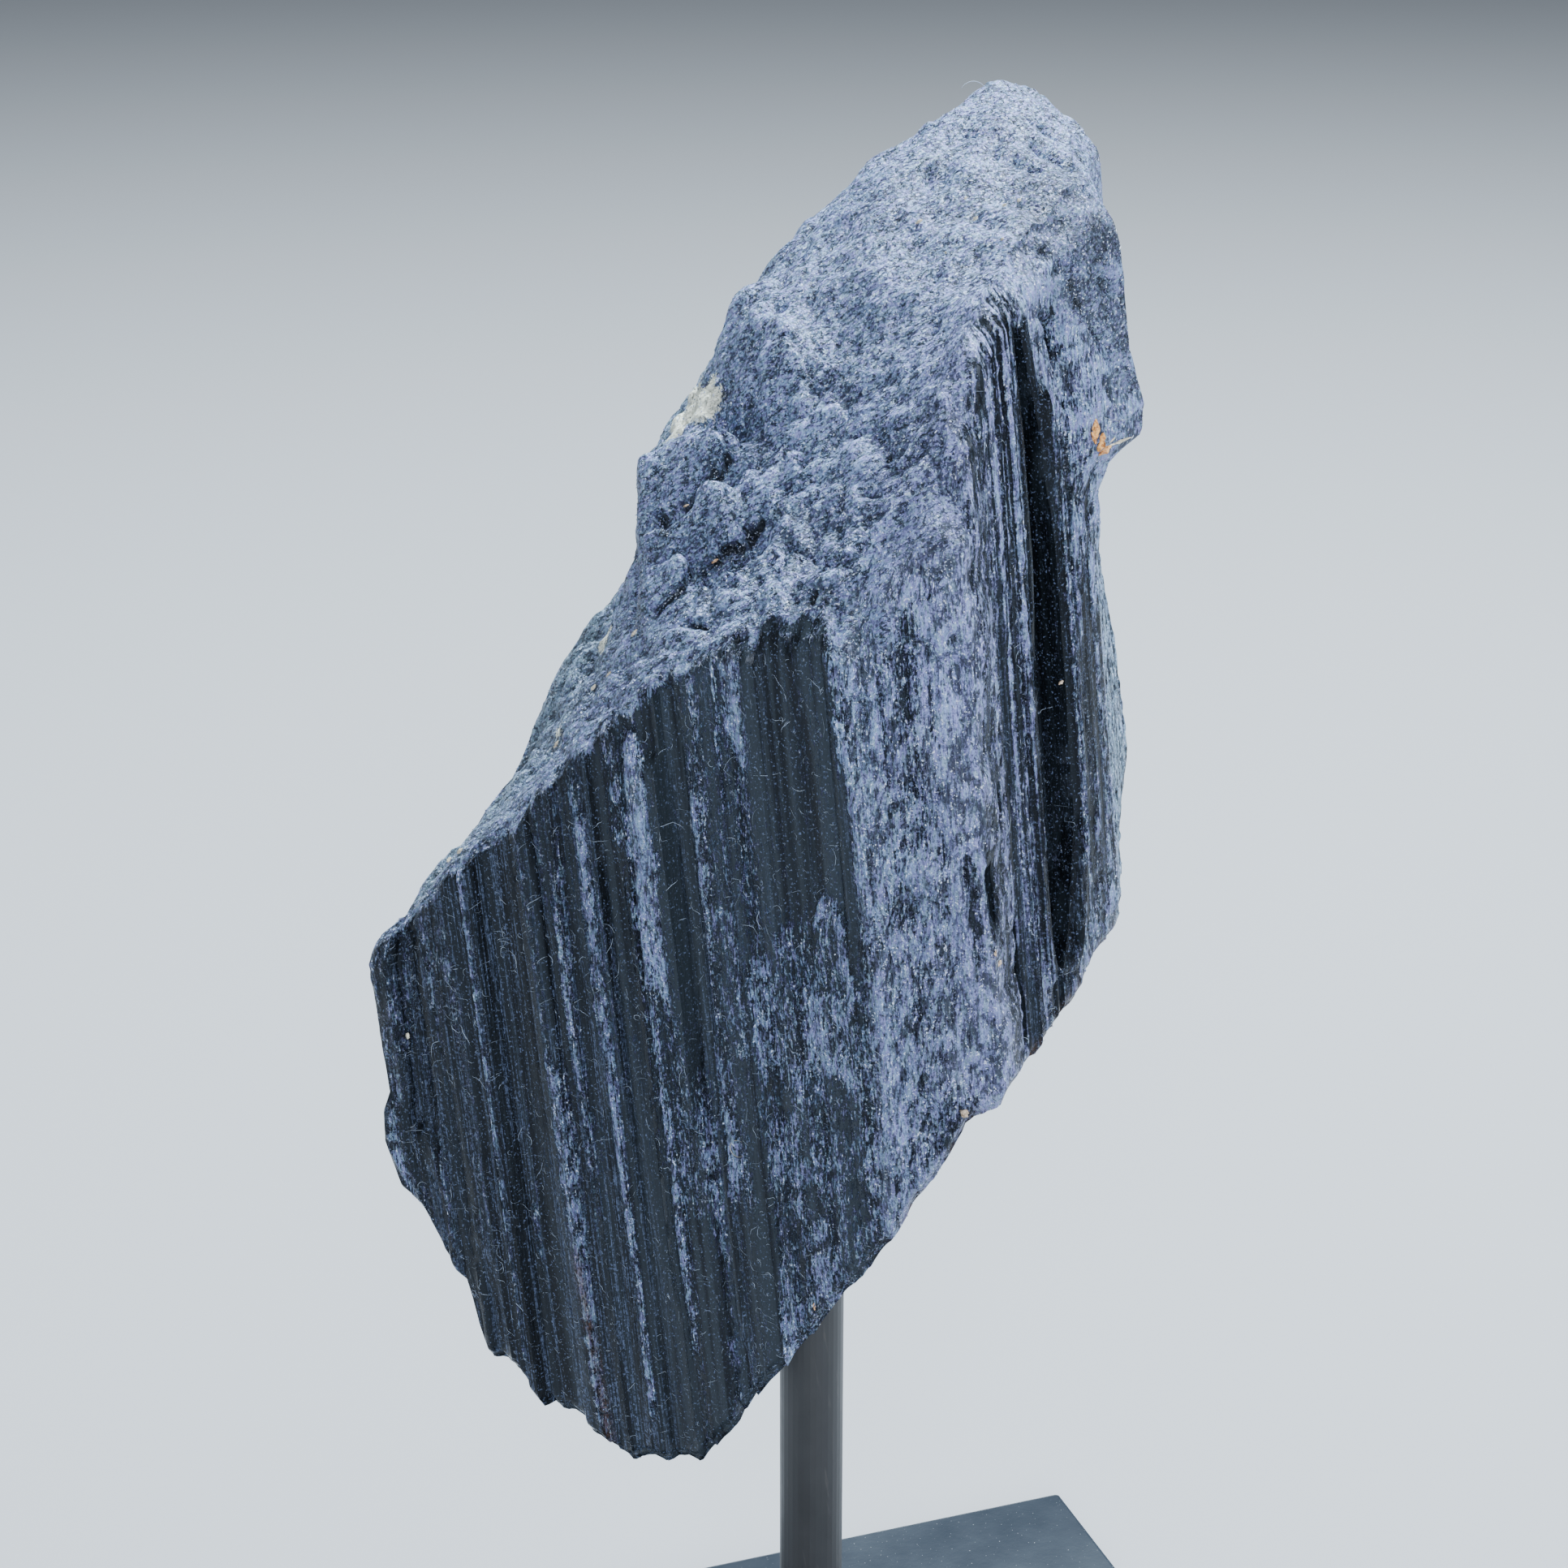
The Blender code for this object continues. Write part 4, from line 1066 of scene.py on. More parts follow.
class Nodes:
    """Short calls for building a material's nodes: most give back a new node's output."""

    def __init__(self, name):
        """Starts a new material."""
        self.material = bpy.data.materials.new(name)
        self.material.use_nodes = True
        self.tree = self.material.node_tree
        self.shader = self.tree.nodes["Principled BSDF"]

    def link(self, source, target):
        """Feeds an input from another node's output, or gives it a plain value."""
        if isinstance(source, (int, float, tuple)):
            target.default_value = source
        else:
            self.tree.links.new(source, target)

    def add(self, kind, inputs, **settings):
        """A new node's outputs, from its inputs by number or name and its settings."""
        node = self.tree.nodes.new("ShaderNode" + kind)
        for key, value in settings.items():
            setattr(node, key, value)
        for socket, value in inputs.items():
            self.link(value, node.inputs[socket])
        return node.outputs

    def surface(self, colour, roughness, normal=None):
        """The material, once it has its colour, roughness and normal."""
        for name, value in (("Base Color", colour), ("Roughness", roughness), ("Normal", normal)):
            if value is not None:
                self.link(value, self.shader.inputs[name])
        return self.material

    def attribute(self, name):
        """A number that the mesh's points carry."""
        return self.add("Attribute", {}, attribute_name=name)["Fac"]

    def position(self):
        """Where a place is, in metres."""
        return self.add("TexCoord", {})["Object"]

    def math(self, operation, first, second=0.0, third=0.0):
        """One to three values put through an operation."""
        return self.add("Math", {0: first, 1: second, 2: third}, operation=operation)[0]

    def times(self, first, second):
        """Two values multiplied."""
        return self.math("MULTIPLY", first, second)

    def times_plus(self, value, factor, extra):
        """A value times a factor, plus an extra."""
        return self.math("MULTIPLY_ADD", value, factor, extra)

    def weighted(self, *parts):
        """A weighted sum of values."""
        total = 0.0
        for value, share in parts:
            total = self.times_plus(value, share, total)
        return total

    def scaled(self, value, middle, amount):
        """How far a value is from its middle, times an amount."""
        return self.times_plus(value, amount, -middle * amount)

    def varied(self, value, by, middle, amount):
        """A value varied by how far another one is from its middle."""
        return self.math("ADD", value, self.scaled(by, middle, amount))

    def lines_at(self, value, middle, wide, narrow):
        """1 along the lines where a value passes its middle, 0 away from them."""
        return self.step(self.math("ABSOLUTE", self.scaled(value, middle, 1.0)), wide, narrow)

    def mix(self, share, first, second):
        """Two colours mixed."""
        return self.add("Mix", {0: share, 6: first, 7: second}, data_type="RGBA")[2]

    def blend(self, share, first, second):
        """Two values mixed."""
        return self.add("Mix", {0: share, 2: first, 3: second}, data_type="FLOAT")[0]

    def step(self, value, low, high, bottom=0.0, top=1.0):
        """A smooth step from the bottom to the top as a value goes from low to high."""
        inputs = dict(enumerate((value, low, high, bottom, top)))
        return self.add("MapRange", inputs, interpolation_type="SMOOTHSTEP")[0]

    def noise(self, vector, scale, detail, rough):
        """Noise from 0 to 1 over some coordinates."""
        inputs = {"Vector": vector, "Scale": scale, "Detail": detail, "Roughness": rough}
        return self.add("TexNoise", inputs)["Fac"]

    def vector_math(self, operation, inputs):
        """The outputs of an operation on vectors."""
        return self.add("VectorMath", inputs, operation=operation)

    def facets(self, vector):
        """A mosaic of small crystals: a random tone, hue and tilt for each."""
        colour = self.add("TexVoronoi", {"Vector": vector, "Scale": 1.0})["Color"]
        parts = self.add("SeparateColor", {0: colour})
        tilt = self.vector_math("SUBTRACT", {0: colour, 1: (0.5, 0.5, 0.5)})
        return parts[0], parts[1], tilt[0]

    def tilted(self, tilt, amount):
        """The surface's normal, leant over by a tilt."""
        scaled = self.vector_math("SCALE", {0: tilt, "Scale": amount})[0]
        normal = self.add("NewGeometry", {})["Normal"]
        return self.vector_math("ADD", {0: normal, 1: scaled})[0]

    def shifted(self, vector, value, amount):
        """Coordinates pushed about by a value."""
        inputs = {0: value, 1: (amount, -amount, amount), 2: vector}
        return self.vector_math("MULTIPLY_ADD", inputs)[0]

    def stretched(self, vector, directions, scales):
        """Coordinates along three of the stone's directions, each with its own scale per mm."""
        parts = []
        for direction, scale in zip(np.asarray(directions) @ STONE_AXES.T / MM, scales):
            drawn = tuple(float(x) * scale for x in direction)
            parts.append(self.vector_math("DOT_PRODUCT", {0: vector, 1: drawn})["Value"])
        return self.add("CombineXYZ", dict(enumerate(parts)))[0]

    def bump(self, height, strength, distance, normal=None):
        """The normal of a surface with a fine relief."""
        inputs = {"Height": height, "Strength": strength, "Distance": distance}
        if normal is not None:
            inputs["Normal"] = normal
        return self.add("Bump", inputs)[0]


def frost_colours(make, bright, hue):
    """The frosted stone's pale colour, with its lilac and green tints."""
    # The bright value, which holds wear and painted light, picks between each dark and pale shade.
    grey, lilac, green = (make.mix(bright, *shades) for shades in FROST_SHADES)
    purple = make.times_plus(make.attribute("purple"), 0.6, make.step(hue, 0.5, 0.75))
    greenish = make.times(make.step(hue, 0.36, 0.14), 0.7)
    greenish = make.times_plus(make.attribute("green"), 0.75, greenish)
    pale = make.mix(make.math("MINIMUM", purple, 1.0), grey, lilac)
    return make.mix(make.math("MINIMUM", greenish, 1.0), pale, green)


def stone_patterns(make):
    """The patterns from which the stone's colours and fine relief are made."""
    place = make.position()
    see = SimpleNamespace()
    see.wear, see.broken = make.attribute("wear"), make.attribute("broken")
    see.striated, see.crest = make.attribute("striated"), make.attribute("crest")
    upright = np.eye(3)
    break_axes = (FIBRE, FIBRE_SIDE, np.cross(FIBRE, FIBRE_SIDE))
    see.lines = make.noise(make.stretched(place, upright, (2.0, 2.0, 0.020)), 1.0, 5.0, 0.72)
    see.bands = make.noise(make.stretched(place, upright, (1.1, 1.1, 0.02)), 1.0, 2.0, 0.5)
    see.rough = make.noise(place, 3.4 * PER_MM, 3.0, 0.72)
    see.fine = make.noise(place, 5.2 * PER_MM, 1.0, 0.5)
    see.on_break = make.math("GREATER_THAN", see.broken, 0.5)
    on_faces = make.stretched(place, upright, (6.0, 6.0, 1.2))
    grown = make.mix(see.on_break, on_faces, make.stretched(place, break_axes, (2.0, 4.8, 4.8)))
    see.grit = make.noise(grown, 1.0, 3.0, 0.70)
    see.cells, see.hue, see.tilt = make.facets(make.shifted(grown, see.grit, 1.6))
    see.folds = make.noise(make.stretched(place, break_axes, (0.36, 1.0, 1.0)), 1.0, 4.0, 0.62)
    see.lined = make.blend(see.striated, see.grit, see.lines)
    return see


def frosted_share(make, see):
    """0 where the stone is glassy black and 1 where it is frosted."""
    level = make.weighted((see.wear, 1.0), (see.crest, 0.10), (see.broken, 0.5), (see.cells, 0.14))
    level = make.varied(level, see.lined, 0.5, 2.4)
    level = make.varied(level, see.rough, 0.5, 0.9)
    return make.step(level, 0.34, 0.82)


def crevice_share(make, see):
    """The break's crevices: 1 in them; the colour paints shade there and the bump sinks them."""
    crevice = make.lines_at(see.folds, 0.50, 0.026, 0.008)
    crevice = make.times(crevice, make.step(see.bands, 0.58, 0.50))
    return make.times(crevice, see.on_break)


def frosted_colour(make, see):
    """The frosted colour, with painted shade in its creases, crevices and hollows and painted glints and
    sparkles; and the crevices in it.
    """
    # Random grain, and the crest value, which paints shade in hollows and light on crests.
    tone = make.weighted(
        (see.lined, 1.9), (see.rough, 1.7), (see.cells, 0.60), (see.crest, 0.45), (see.lines, 0.5)
    )
    least = make.times_plus(see.on_break, -0.20, 1.98)
    most = make.times_plus(see.on_break, 0.03, 2.78)
    tone = make.step(tone, least, most)
    pale = frost_colours(make, make.attribute("bright"), see.hue)
    shade = make.mix(0.90, pale, (0.006, 0.006, 0.011, 1))
    worn = make.mix(tone, shade, pale)
    # Painted shade: dark lines in the creases between grains, in the crevices and in the deepest hollows.
    crease_shade = make.times(make.lines_at(see.grit, 0.46, 0.022, 0.006), make.step(see.rough, 0.56, 0.46))
    crevice = crevice_share(make, see)
    painted_gap_shade = make.math("MAXIMUM", make.times(crease_shade, 0.8), make.times(crevice, 0.9))
    painted_gap_shade = make.math("MAXIMUM", painted_gap_shade, make.step(see.crest, -1.0, -1.4))
    worn = make.mix(painted_gap_shade, worn, (0.006, 0.009, 0.014, 1))
    # Painted highlights: small pale glints and larger sparkles.
    painted_glint = make.times(make.step(see.fine, 0.60, 0.68), make.step(see.cells, 0.45, 0.75))
    worn = make.mix(make.times(painted_glint, 0.9), worn, (0.72, 0.80, 0.96, 1))
    painted_sparkle = make.times(make.step(see.rough, 0.60, 0.66), make.step(see.cells, 0.60, 0.85))
    return make.mix(make.times(painted_sparkle, 0.55), worn, (0.66, 0.75, 0.98, 1)), crevice


def glassy_colour(make, see):
    """The black facets, greyed by painted sheen, with pale lines and dust on them."""
    banded = make.step(see.bands, 0.38, 0.62)
    deep = make.mix(banded, (0.0020, 0.0026, 0.0033, 1), (0.0060, 0.0082, 0.0105, 1))
    # Painted sheen: a greyer black where the sheen value is high, standing in for reflected light.
    painted_sheen_black = make.mix(banded, (0.0060, 0.0076, 0.0095, 1), (0.0200, 0.0265, 0.0330, 1))
    black = make.mix(make.attribute("sheen"), deep, painted_sheen_black)
    line = make.lines_at(see.lines, 0.56, 0.030, 0.006)
    line = make.times(line, make.step(see.rough, 0.42, 0.58, 0.1, 1.0))
    line = make.times(line, make.step(see.striated, 0.1, 0.6))
    dust = make.times(make.step(see.fine, 0.58, 0.68), make.step(see.rough, 0.46, 0.60))
    line = make.math("MAXIMUM", line, dust)
    return make.mix(make.times(line, 0.5), black, (0.15, 0.20, 0.34, 1))


def stained(make, see, colour):
    """A colour with the cream and the brown stains over it."""
    cream = make.varied(make.attribute("cream"), see.rough, 0.5, 1.6)
    colour = make.mix(make.step(cream, 0.35, 0.6), colour, (0.82, 0.85, 0.72, 1))
    brown = make.times(make.attribute("brown"), make.step(see.rough, 0.38, 0.6))
    return make.mix(brown, colour, (0.11, 0.055, 0.030, 1))


def stone_material():
    """Glassy black facets, frosted lilac-grey ribs and a fibrous granular break, with painted shade,
    glints and sheen in their colour.
    """
    make = Nodes("tourmaline_surface")
    see = stone_patterns(make)
    frosted = frosted_share(make, see)
    worn, crevice = frosted_colour(make, see)
    # The frosted colour holds painted shade and glints as well as the wear.
    colour = make.mix(frosted, glassy_colour(make, see), worn)
    colour = stained(make, see, colour)
    shine = make.varied(make.step(frosted, 0.0, 1.0, 0.22, 0.42), see.cells, 0.5, -0.24)
    specular = make.shader.inputs["Specular IOR Level"]
    make.link(make.step(frosted, 0.0, 1.0, 0.16, 0.62), specular)
    make.shader.inputs["Specular Tint"].default_value = (0.76, 0.84, 1.0, 1)
    height = make.weighted((see.grit, 0.20), (see.rough, 0.26), (crevice, -0.35))
    height = make.times(height, make.step(frosted, 0.0, 1.0, 0.08, 1.0))
    height = make.weighted((see.lines, 0.05), (height, 1.0))
    lean = make.tilted(see.tilt, make.step(frosted, 0.0, 1.0, 0.05, 0.95))
    return make.surface(colour, shine, make.bump(height, 1.0, 1.0 * MM, lean))


def grain_material():
    """Small crystals of the granular surfaces: each has a tone of its own, and the glossiest are coloured
    pale as painted glints.
    """
    make = Nodes("tourmaline_grains")
    place = make.position()
    fine = make.noise(place, 5.0 * PER_MM, 2.0, 0.6)
    tone = make.varied(make.attribute("tone"), fine, 0.5, 0.6)
    patches = make.noise(place, 1.6 * PER_MM, 1.0, 0.5)
    # The pale colour follows the bright value, which holds painted light.
    pale = frost_colours(make, make.attribute("bright"), make.step(patches, 0.3, 0.7))
    shade = make.mix(0.86, pale, (0.004, 0.006, 0.010, 1))
    colour = make.mix(tone, shade, pale)
    # Painted highlights: the glossiest crystals coloured near white.
    colour = make.mix(make.step(tone, 1.1, 1.3), colour, (0.70, 0.78, 0.92, 1))
    roughness = make.step(tone, 0.2, 1.2, 0.50, 0.18)
    return make.surface(colour, roughness, make.bump(fine, 0.3, 0.05 * MM))


def lint_material():
    """Fine white lint and dust caught on the stone."""
    make = Nodes("lint")
    place = make.position()
    fine = make.noise(place, 2.0 * PER_MM, 2.0, 0.6)
    tone = make.varied(make.attribute("tone"), fine, 0.5, 0.5)
    colour = make.mix(tone, (0.05, 0.07, 0.10, 1), (0.42, 0.50, 0.62, 1))
    colour = make.mix(make.attribute("tan"), colour, (0.30, 0.27, 0.18, 1))
    return make.surface(colour, make.step(fine, 0.3, 0.7, 0.5, 0.7))


def fleck_material():
    """Splinters of tan and orange matrix mineral stuck in the stone."""
    make = Nodes("matrix_flecks")
    place = make.position()
    grain = make.noise(place, 3.0 * PER_MM, 4.0, 0.7)
    tones = (
        ((0.34, 0.11, 0.02, 1), (0.98, 0.52, 0.16, 1)),
        ((0.24, 0.17, 0.11, 1), (0.62, 0.50, 0.38, 1)),
        ((0.40, 0.37, 0.27, 1), (0.85, 0.82, 0.66, 1)),
    )
    orange, tan, cream = (make.mix(make.step(grain, 0.38, 0.62), *pair) for pair in tones)
    hue = make.attribute("hue")
    colour = make.mix(make.step(hue, 0.0, 0.5), orange, tan)
    colour = make.mix(make.step(hue, 0.5, 1.0), colour, cream)
    roughness = make.step(grain, 0.3, 0.7, 0.4, 0.7)
    return make.surface(colour, roughness, make.bump(grain, 0.6, 0.15 * MM))


def triangle_frames(points, triangles):
    """Normals and areas of triangles."""
    corners = points[triangles]
    normals = np.cross(corners[:, 1] - corners[:, 0], corners[:, 2] - corners[:, 0])
    return unit(normals), np.linalg.norm(normals, axis=1) / 2


def unit(vectors):
    """Vectors, in the last axis, made one long."""
    return vectors / np.maximum(np.linalg.norm(vectors, axis=-1), 1e-9)[..., None]


def scattered(points, triangles, density, count, rng):
    """Random places on triangles, more where it is denser: triangles, places and normals."""
    normals, area = triangle_frames(points, triangles)
    share = area * density
    chosen = rng.choice(len(triangles), count, p=share / share.sum())
    weights = rng.uniform(0, 1, (count, 2))
    outside = weights.sum(axis=1) > 1
    weights[outside] = 1 - weights[outside]
    weights = np.column_stack((weights, 1 - weights.sum(axis=1)))
    return chosen, (points[triangles[chosen]] * weights[..., None]).sum(axis=1), normals[chosen]


def grains(stone, density, count, sizes, spread, rng):
    """Small long crystals half sunk in the stone: points, triangles, tones and where they lie."""
    points, triangles, broken = stone
    chosen, middle, normal = scattered(points, triangles, density, count, rng)
    lying = broken[triangles[chosen]].mean(axis=1) > 0.5
    lie = np.where(lying[:, None], FIBRE, np.array((0.0, 0.0, 1.0)))
    lie = unit(lie + rng.normal(0, spread, (count, 3)))
    sunk = (lie * normal).sum(axis=1)[:, None] * rng.uniform(0.6, 1.0, (count, 1))
    lie = unit(lie - sunk * normal)
    side = unit(np.cross(normal, lie))
    up = unit(np.cross(lie, side))
    spin = rng.uniform(0, math.pi, (count, 1))
    side, up = np.cos(spin) * side + np.sin(spin) * up, np.cos(spin) * up - np.sin(spin) * side
    shortest, longest, thin, thick = sizes
    long = rng.uniform(shortest, longest, (count, 1))
    wide = rng.uniform(thin, thick, (count, 1))
    flat = wide * rng.uniform(0.5, 1.0, (count, 1))
    middle = middle - normal * rng.uniform(0.0, 0.07, (count, 1))
    ends = (lie * long, -lie * long, side * wide, -side * wide, up * flat, -up * flat)
    verts = np.stack([middle + end for end in ends], axis=1)
    faces = SPIKE_FACES[None] + 6 * np.arange(count)[:, None, None]
    tone = np.clip(rng.normal(0.42, 0.28, count), 0.02, 1)
    # Glossy crystals get a tone of 1.4, which the material colours pale as painted glints.
    tone = np.where(rng.uniform(0, 1, count) < GLOSSY_PAINTED_GLINT_SHARE, 1.4, tone)
    return verts.reshape(-1, 3), faces.reshape(-1, 3), np.repeat(tone, 6), np.repeat(lying, 6)


def add_grains(name, stone, density, count, sizes, spread, seed, material):
    """Adds small long crystals half sunk in the stone's surface, as one piece."""
    rng = np.random.default_rng(seed)
    spots, faces, tone, lying = grains(stone, density, count, sizes, spread, rng)
    mesh = mesh_from(name, spots, faces)
    tints = stains(spots, np.zeros(len(spots)))
    # The grains take the stone's paleness, with its painted light.
    bright = paleness_and_painted_light(spots, lying, 0.7)
    add_attributes(mesh, tone=tone, purple=tints["purple"], green=tints["green"], bright=bright)
    stone_piece(name, mesh, material)


def threads(paths, radii):
    """Thin three-sided tubes along paths, as (points, triangles)."""
    count, steps = paths.shape[:2]
    run = unit(np.gradient(paths, axis=1))
    side = unit(np.cross(run, np.array((0.31, -0.42, 0.85))))
    up = np.cross(run, side)
    turn = np.arange(3) * 2 * math.pi / 3
    taper = np.sin(np.linspace(0.25, math.pi - 0.25, steps))[None, :, None, None]
    ring = np.cos(turn)[:, None] * side[:, :, None] + np.sin(turn)[:, None] * up[:, :, None]
    verts = paths[:, :, None] + ring * radii[:, None, None, None] * taper
    rings = np.arange(3 * steps).reshape(-1, 3)
    faces = [piece for low, high in zip(rings[:-1], rings[1:]) for piece in band(low, high)]
    faces.append(np.array((rings[0][::-1], rings[-1])))
    faces = np.vstack(faces)[None] + 3 * steps * np.arange(count)[:, None, None]
    return verts.reshape(-1, 3), faces.reshape(-1, 3)


def on_face(around, level, edges, lift):
    """Points on the faces at (distance round, level), lifted clear of them."""
    columns, top, foot = edges
    highest = np.interp(around, columns, top)
    lowest = np.interp(around, columns, foot)
    level = np.clip(level, lowest + 0.3, highest - 0.3)
    a, b = face_points(around, level, highest - level, level - lowest)[:2]
    na, nb = outward(beside_trench(around, level))
    return np.column_stack((a + lift * na, b + lift * nb, level))


def lint_paths(edges, rng):
    """Curved paths of lint over the front, the crust and the right face."""
    count, on_front = LINT_COUNTS
    columns, top, foot = edges
    around = np.concatenate((rng.uniform(2, 51, on_front), rng.uniform(52, 82, count - on_front)))
    share = rng.uniform(0.01, 0.97, count)
    lowest, highest = np.interp(around, columns, foot), np.interp(around, columns, top)
    level = lowest + share * (highest - lowest)
    length = rng.gamma(1.5, 0.45, count) + 0.15
    heading = rng.uniform(0, 2 * math.pi, count)
    bend = rng.normal(0, 0.7, count)
    wave = rng.normal(0, 0.6, count)
    paths = []
    for step in range(LINT_STEPS):
        paths.append(on_face(around, level, edges, 0.03 + 0.02 * math.sin(2.0 * step)))
        around = around + length / (LINT_STEPS - 1) * np.cos(heading)
        level = level + length / (LINT_STEPS - 1) * np.sin(heading)
        heading = heading + (bend + wave * math.cos(1.7 * step)) / 2.2
    return np.stack(paths, axis=1), rng.uniform(0.010, 0.027, count)


def curl(middle, across, up, radius, start, turned, steps):
    """A path round part of a circle."""
    turn = np.linspace(start, start + turned, steps)[:, None]
    across, up = np.array(across), np.array(up)
    return np.array(middle) + radius * (np.cos(turn) * across + np.sin(turn) * up)


def add_lint(edges):
    """Lint fibres, one curled thread and one loose hair at the very top."""
    rng = np.random.default_rng(LINT_SEED)
    paths, radii = lint_paths(edges, rng)
    points, faces = threads(paths, radii)
    tone = np.repeat(rng.beta(1.6, 1.8, len(paths)), 3 * LINT_STEPS)
    tan = np.zeros(len(points))
    front = (0.874, -0.486, 0.0)
    curled = curl((-7.70, -14.53, -12.4), front, (0.0, 0.0, 1.0), 0.75, 0.9, 4.6, HAIR_STEPS)
    curled += np.array((-0.486, -0.874, 0.0)) * np.linspace(0.08, 0.4, HAIR_STEPS)[:, None]
    hair = curl((19.9, 6.4, 72.45), (0.94, 0.1, 0.0), (0.0, -0.2, 1.0), 1.25, 0.0, 2.5, HAIR_STEPS)
    for path, width, shade, colour in ((curled, 0.05, 0.6, 0.7), (hair, 0.035, 0.9, 0.0)):
        more, more_faces = threads(path[None], np.array((width,)))
        faces = np.vstack((faces, more_faces + len(points)))
        points = np.vstack((points, more))
        tone = np.append(tone, np.full(len(more), shade))
        tan = np.append(tan, np.full(len(more), colour))
    mesh = mesh_from("lint_fibres", points, faces)
    add_attributes(mesh, tone=tone, tan=tan)
    stone_piece("lint_fibres", mesh, lint_material())


def fleck(middle, lie, half_length, half_width, rng):
    """A rough splinter's points, ring by ring and then its two tips."""
    lie = np.array(lie) / np.linalg.norm(lie)
    side = np.cross(lie, (0.3, 0.8, -0.2))
    side /= np.linalg.norm(side)
    up = np.cross(lie, side)
    turn = np.linspace(0, 2 * math.pi, FLECK_SIDES, endpoint=False)
    points = []
    for step in np.linspace(0.06, 0.94, FLECK_RINGS):
        wide = half_width * math.sin(math.pi * step) ** 0.6
        radius = wide * rng.uniform(0.45, 1.4, FLECK_SIDES)
        across, high = radius * np.cos(turn), 0.7 * radius * np.sin(turn)
        at = np.array(middle) + (2 * step - 1) * half_length * lie
        points.append(at + across[:, None] * side + high[:, None] * up)
    reach = half_length * lie
    return np.vstack(points + [np.array(middle) - reach, np.array(middle) + reach])


def fleck_faces():
    """The triangles of one splinter."""
    rings = np.arange(FLECK_RINGS * FLECK_SIDES).reshape(-1, FLECK_SIDES)
    faces = [piece for low, high in zip(rings[:-1], rings[1:]) for piece in band(low, high)]
    bottom, tip = np.full((2, FLECK_SIDES), rings.size) + np.array(((0,), (1,)))
    low, high = rings[0], rings[-1]
    faces.append(np.column_stack((np.roll(low, -1), low, bottom)))
    faces.append(np.column_stack((high, np.roll(high, -1), tip)))
    return np.vstack(faces)


def add_flecks():
    """Small rough splinters of another mineral."""
    rng = np.random.default_rng(FLECK_SEED)
    points = [fleck(*shape, rng) for *shape, _ in FLECKS]
    count = len(points[0])
    faces = [fleck_faces() + count * number for number in range(len(FLECKS))]
    mesh = mesh_from("matrix_flecks", np.vstack(points), np.vstack(faces))
    add_attributes(mesh, hue=np.repeat([tint for *_, tint in FLECKS], count))
    stone_piece("matrix_flecks", mesh, fleck_material())


def build_stone():
    """The stone's surface, its needles and grains, the lint and the flecks."""
    points, triangles, measures, broken, edges = stone_surface()
    wear, crest, kind, around = measures
    mesh = mesh_from("tourmaline_crystal", points, triangles)
    # The bright value holds wear and painted light; the crest value is painted as shade in hollows and
    # light on crests.
    bright = paleness_and_painted_light(points, broken, wear)
    add_attributes(mesh, wear=wear, broken=broken, bright=bright, crest=crest)
    striated = striation(around, points[:, 2]) * (kind == 0)
    add_attributes(mesh, striated=striated, sheen=table(around, SHEEN), **stains(points, kind))
    mesh.shade_smooth()
    mesh.set_sharp_from_angle(angle=SHARP_FROM)
    stone = stone_piece("tourmaline_crystal", mesh, stone_material())
    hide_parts("tourmaline")

    worn = smooth_step((wear[triangles].mean(axis=1) - 0.4) / 0.35)
    on_top = (kind[triangles] == 1).any(axis=1)
    on_foot = (kind[triangles] == 2).any(axis=1)
    crust = ~on_top & (broken[triangles].mean(axis=1) > 0.3)
    walls = worn * ~on_top * np.where(on_foot, 0.1, 1.0)
    backward = triangle_frames(points, triangles)[0][:, 1] > 0.3
    walls *= np.where(backward, 0.15, 1.0)
    material = grain_material()
    for name, density, *numbers in (
        ("break_needles", on_top + 0.8 * crust, 14000, (0.12, 0.36, 0.035, 0.08), 0.4, 61),
        ("wall_needles", walls, 20000, (0.10, 0.40, 0.025, 0.065), 0.15, 62),
        ("crust_grains", walls + 0.6 * on_top, 16000, (0.06, 0.17, 0.04, 0.11), 0.8, 63),
    ):
        add_grains(name, (points, triangles, broken), density, *numbers, material)
    add_lint(edges)
    add_flecks()


def post_paint():
    """Satin paint for the post."""
    make = Nodes("post_paint")
    place = make.position()
    mottle = make.noise(place, 90.0, 4.0, 0.6)
    lengthwise = make.stretched(place, STONE_AXES.T, (1.5, 1.5, 0.04))
    drawn = make.noise(lengthwise, 1.0, 3.0, 0.6)
    peel = make.noise(place, 1.4 * PER_MM, 2.0, 0.5)
    colour = make.mix(make.step(mottle, 0.35, 0.7), (0.008, 0.0085, 0.0098, 1), (0.017, 0.018, 0.020, 1))
    colour = make.mix(make.step(drawn, 0.6, 0.75, 0.0, 0.4), colour, (0.06, 0.055, 0.052, 1))
    roughness = make.step(mottle, 0.3, 0.75, 0.36, 0.52)
    height = make.weighted((peel, 0.6), (drawn, 0.4))
    return make.surface(colour, roughness, make.bump(height, 0.3, 0.05 * MM))


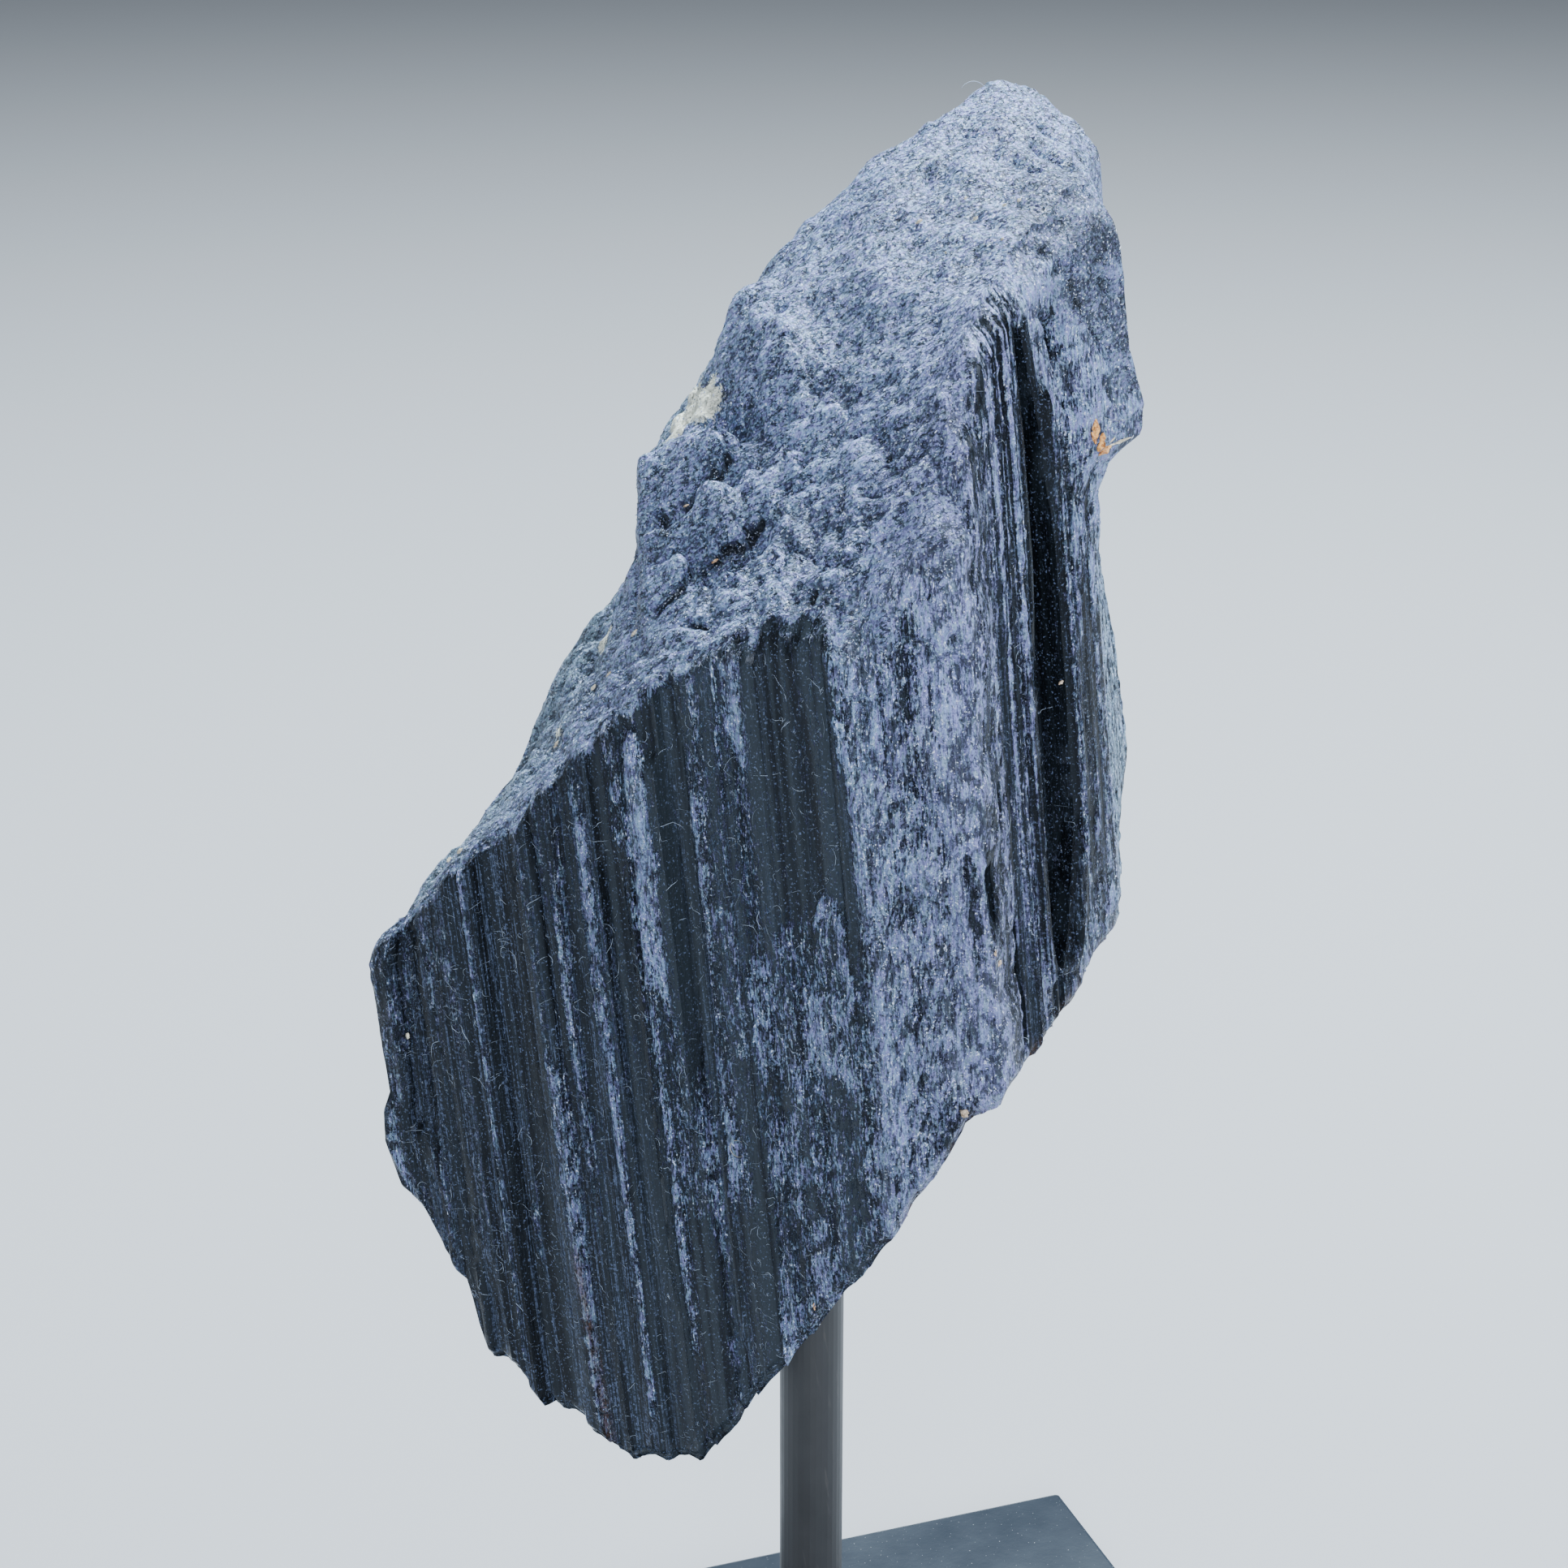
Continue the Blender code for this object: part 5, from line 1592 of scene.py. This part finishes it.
def plate_coat():
    """Powder coat for the plate, its black tinted blue as a painted reflection."""
    make = Nodes("plate_coat")
    place = make.position()
    mottle = make.noise(place, 45.0, 4.0, 0.6)
    peel = make.noise(place, 1.3 * PER_MM, 2.0, 0.5)
    dust = make.noise(place, 3.8 * PER_MM, 1.0, 0.5)
    # Bluish blacks: the blue tint is a painted reflection of the sky light on the satin coat.
    colour = make.mix(make.step(mottle, 0.35, 0.7), (0.006, 0.0115, 0.020, 1), (0.010, 0.018, 0.029, 1))
    colour = make.mix(make.step(dust, 0.72, 0.8, 0.0, 0.6), colour, (0.30, 0.32, 0.35, 1))
    roughness = make.step(mottle, 0.3, 0.75, 0.34, 0.46)
    return make.surface(colour, roughness, make.bump(peel, 0.3, 0.05 * MM))


def dress_stand(frame):
    """Gives the post and the plate their materials."""
    for node, material in (("post", post_paint()), ("base_plate", plate_coat())):
        mesh = frame["nodes"][node].data
        mesh.materials.clear()
        mesh.materials.append(material)


def add_floor():
    """A pale floor that belongs to the stage."""
    mesh = bpy.data.meshes.new("floor")
    corners = ((-1, -1), (1, -1), (1, 1), (-1, 1))
    mesh.from_pydata([(FLOOR_REACH * x, FLOOR_REACH * y, 0) for x, y in corners], [], [(0, 1, 2, 3)])
    floor = add_object("floor", mesh)
    mesh.materials.append(Nodes("floor_paper").surface((0.34, 0.35, 0.37, 1), 0.9))


def add_lights():
    """A dim pale world and three soft lamps aimed at the stone."""
    world = bpy.data.worlds.new("studio")
    bpy.context.scene.world = world
    world.use_nodes = True
    background = world.node_tree.nodes["Background"]
    background.inputs["Color"].default_value = (0.78, 0.86, 1.0, 1)
    background.inputs["Strength"].default_value = 0.22
    for name, place, size, power, colour in LAMPS:
        light = bpy.data.lights.new(name, "AREA")
        light.size, light.energy, light.color = size, power, colour
        lamp = add_object(name, light)
        lamp.location = place
        aim = Vector((0, 0, AIM_HEIGHT)) - Vector(place)
        lamp.rotation_euler = aim.to_track_quat("-Z", "Y").to_euler()


def add_camera():
    """The camera of the photo."""
    camera = add_object("camera", bpy.data.cameras.new("camera"))
    bpy.context.scene.camera = camera
    camera.data.sensor_width = SENSOR_WIDTH
    camera.data.lens = CAMERA_LENS
    camera.data.clip_start = 0.01
    camera.location = CAMERA_PLACE
    camera.rotation_euler = (math.radians(CAMERA_TILT), 0, math.radians(CAMERA_TURN))


def build_stage():
    """The floor, the lights and the camera."""
    add_floor()
    add_lights()
    add_camera()


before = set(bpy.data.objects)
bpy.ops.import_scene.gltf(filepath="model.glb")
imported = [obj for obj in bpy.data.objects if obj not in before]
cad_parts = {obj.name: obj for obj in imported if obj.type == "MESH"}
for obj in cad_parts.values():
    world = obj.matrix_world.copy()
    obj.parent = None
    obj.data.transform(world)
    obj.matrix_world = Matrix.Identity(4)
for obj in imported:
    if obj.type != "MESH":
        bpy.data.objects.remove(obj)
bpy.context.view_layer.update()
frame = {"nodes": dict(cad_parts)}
build_stage()
build_stone()
dress_stand(frame)
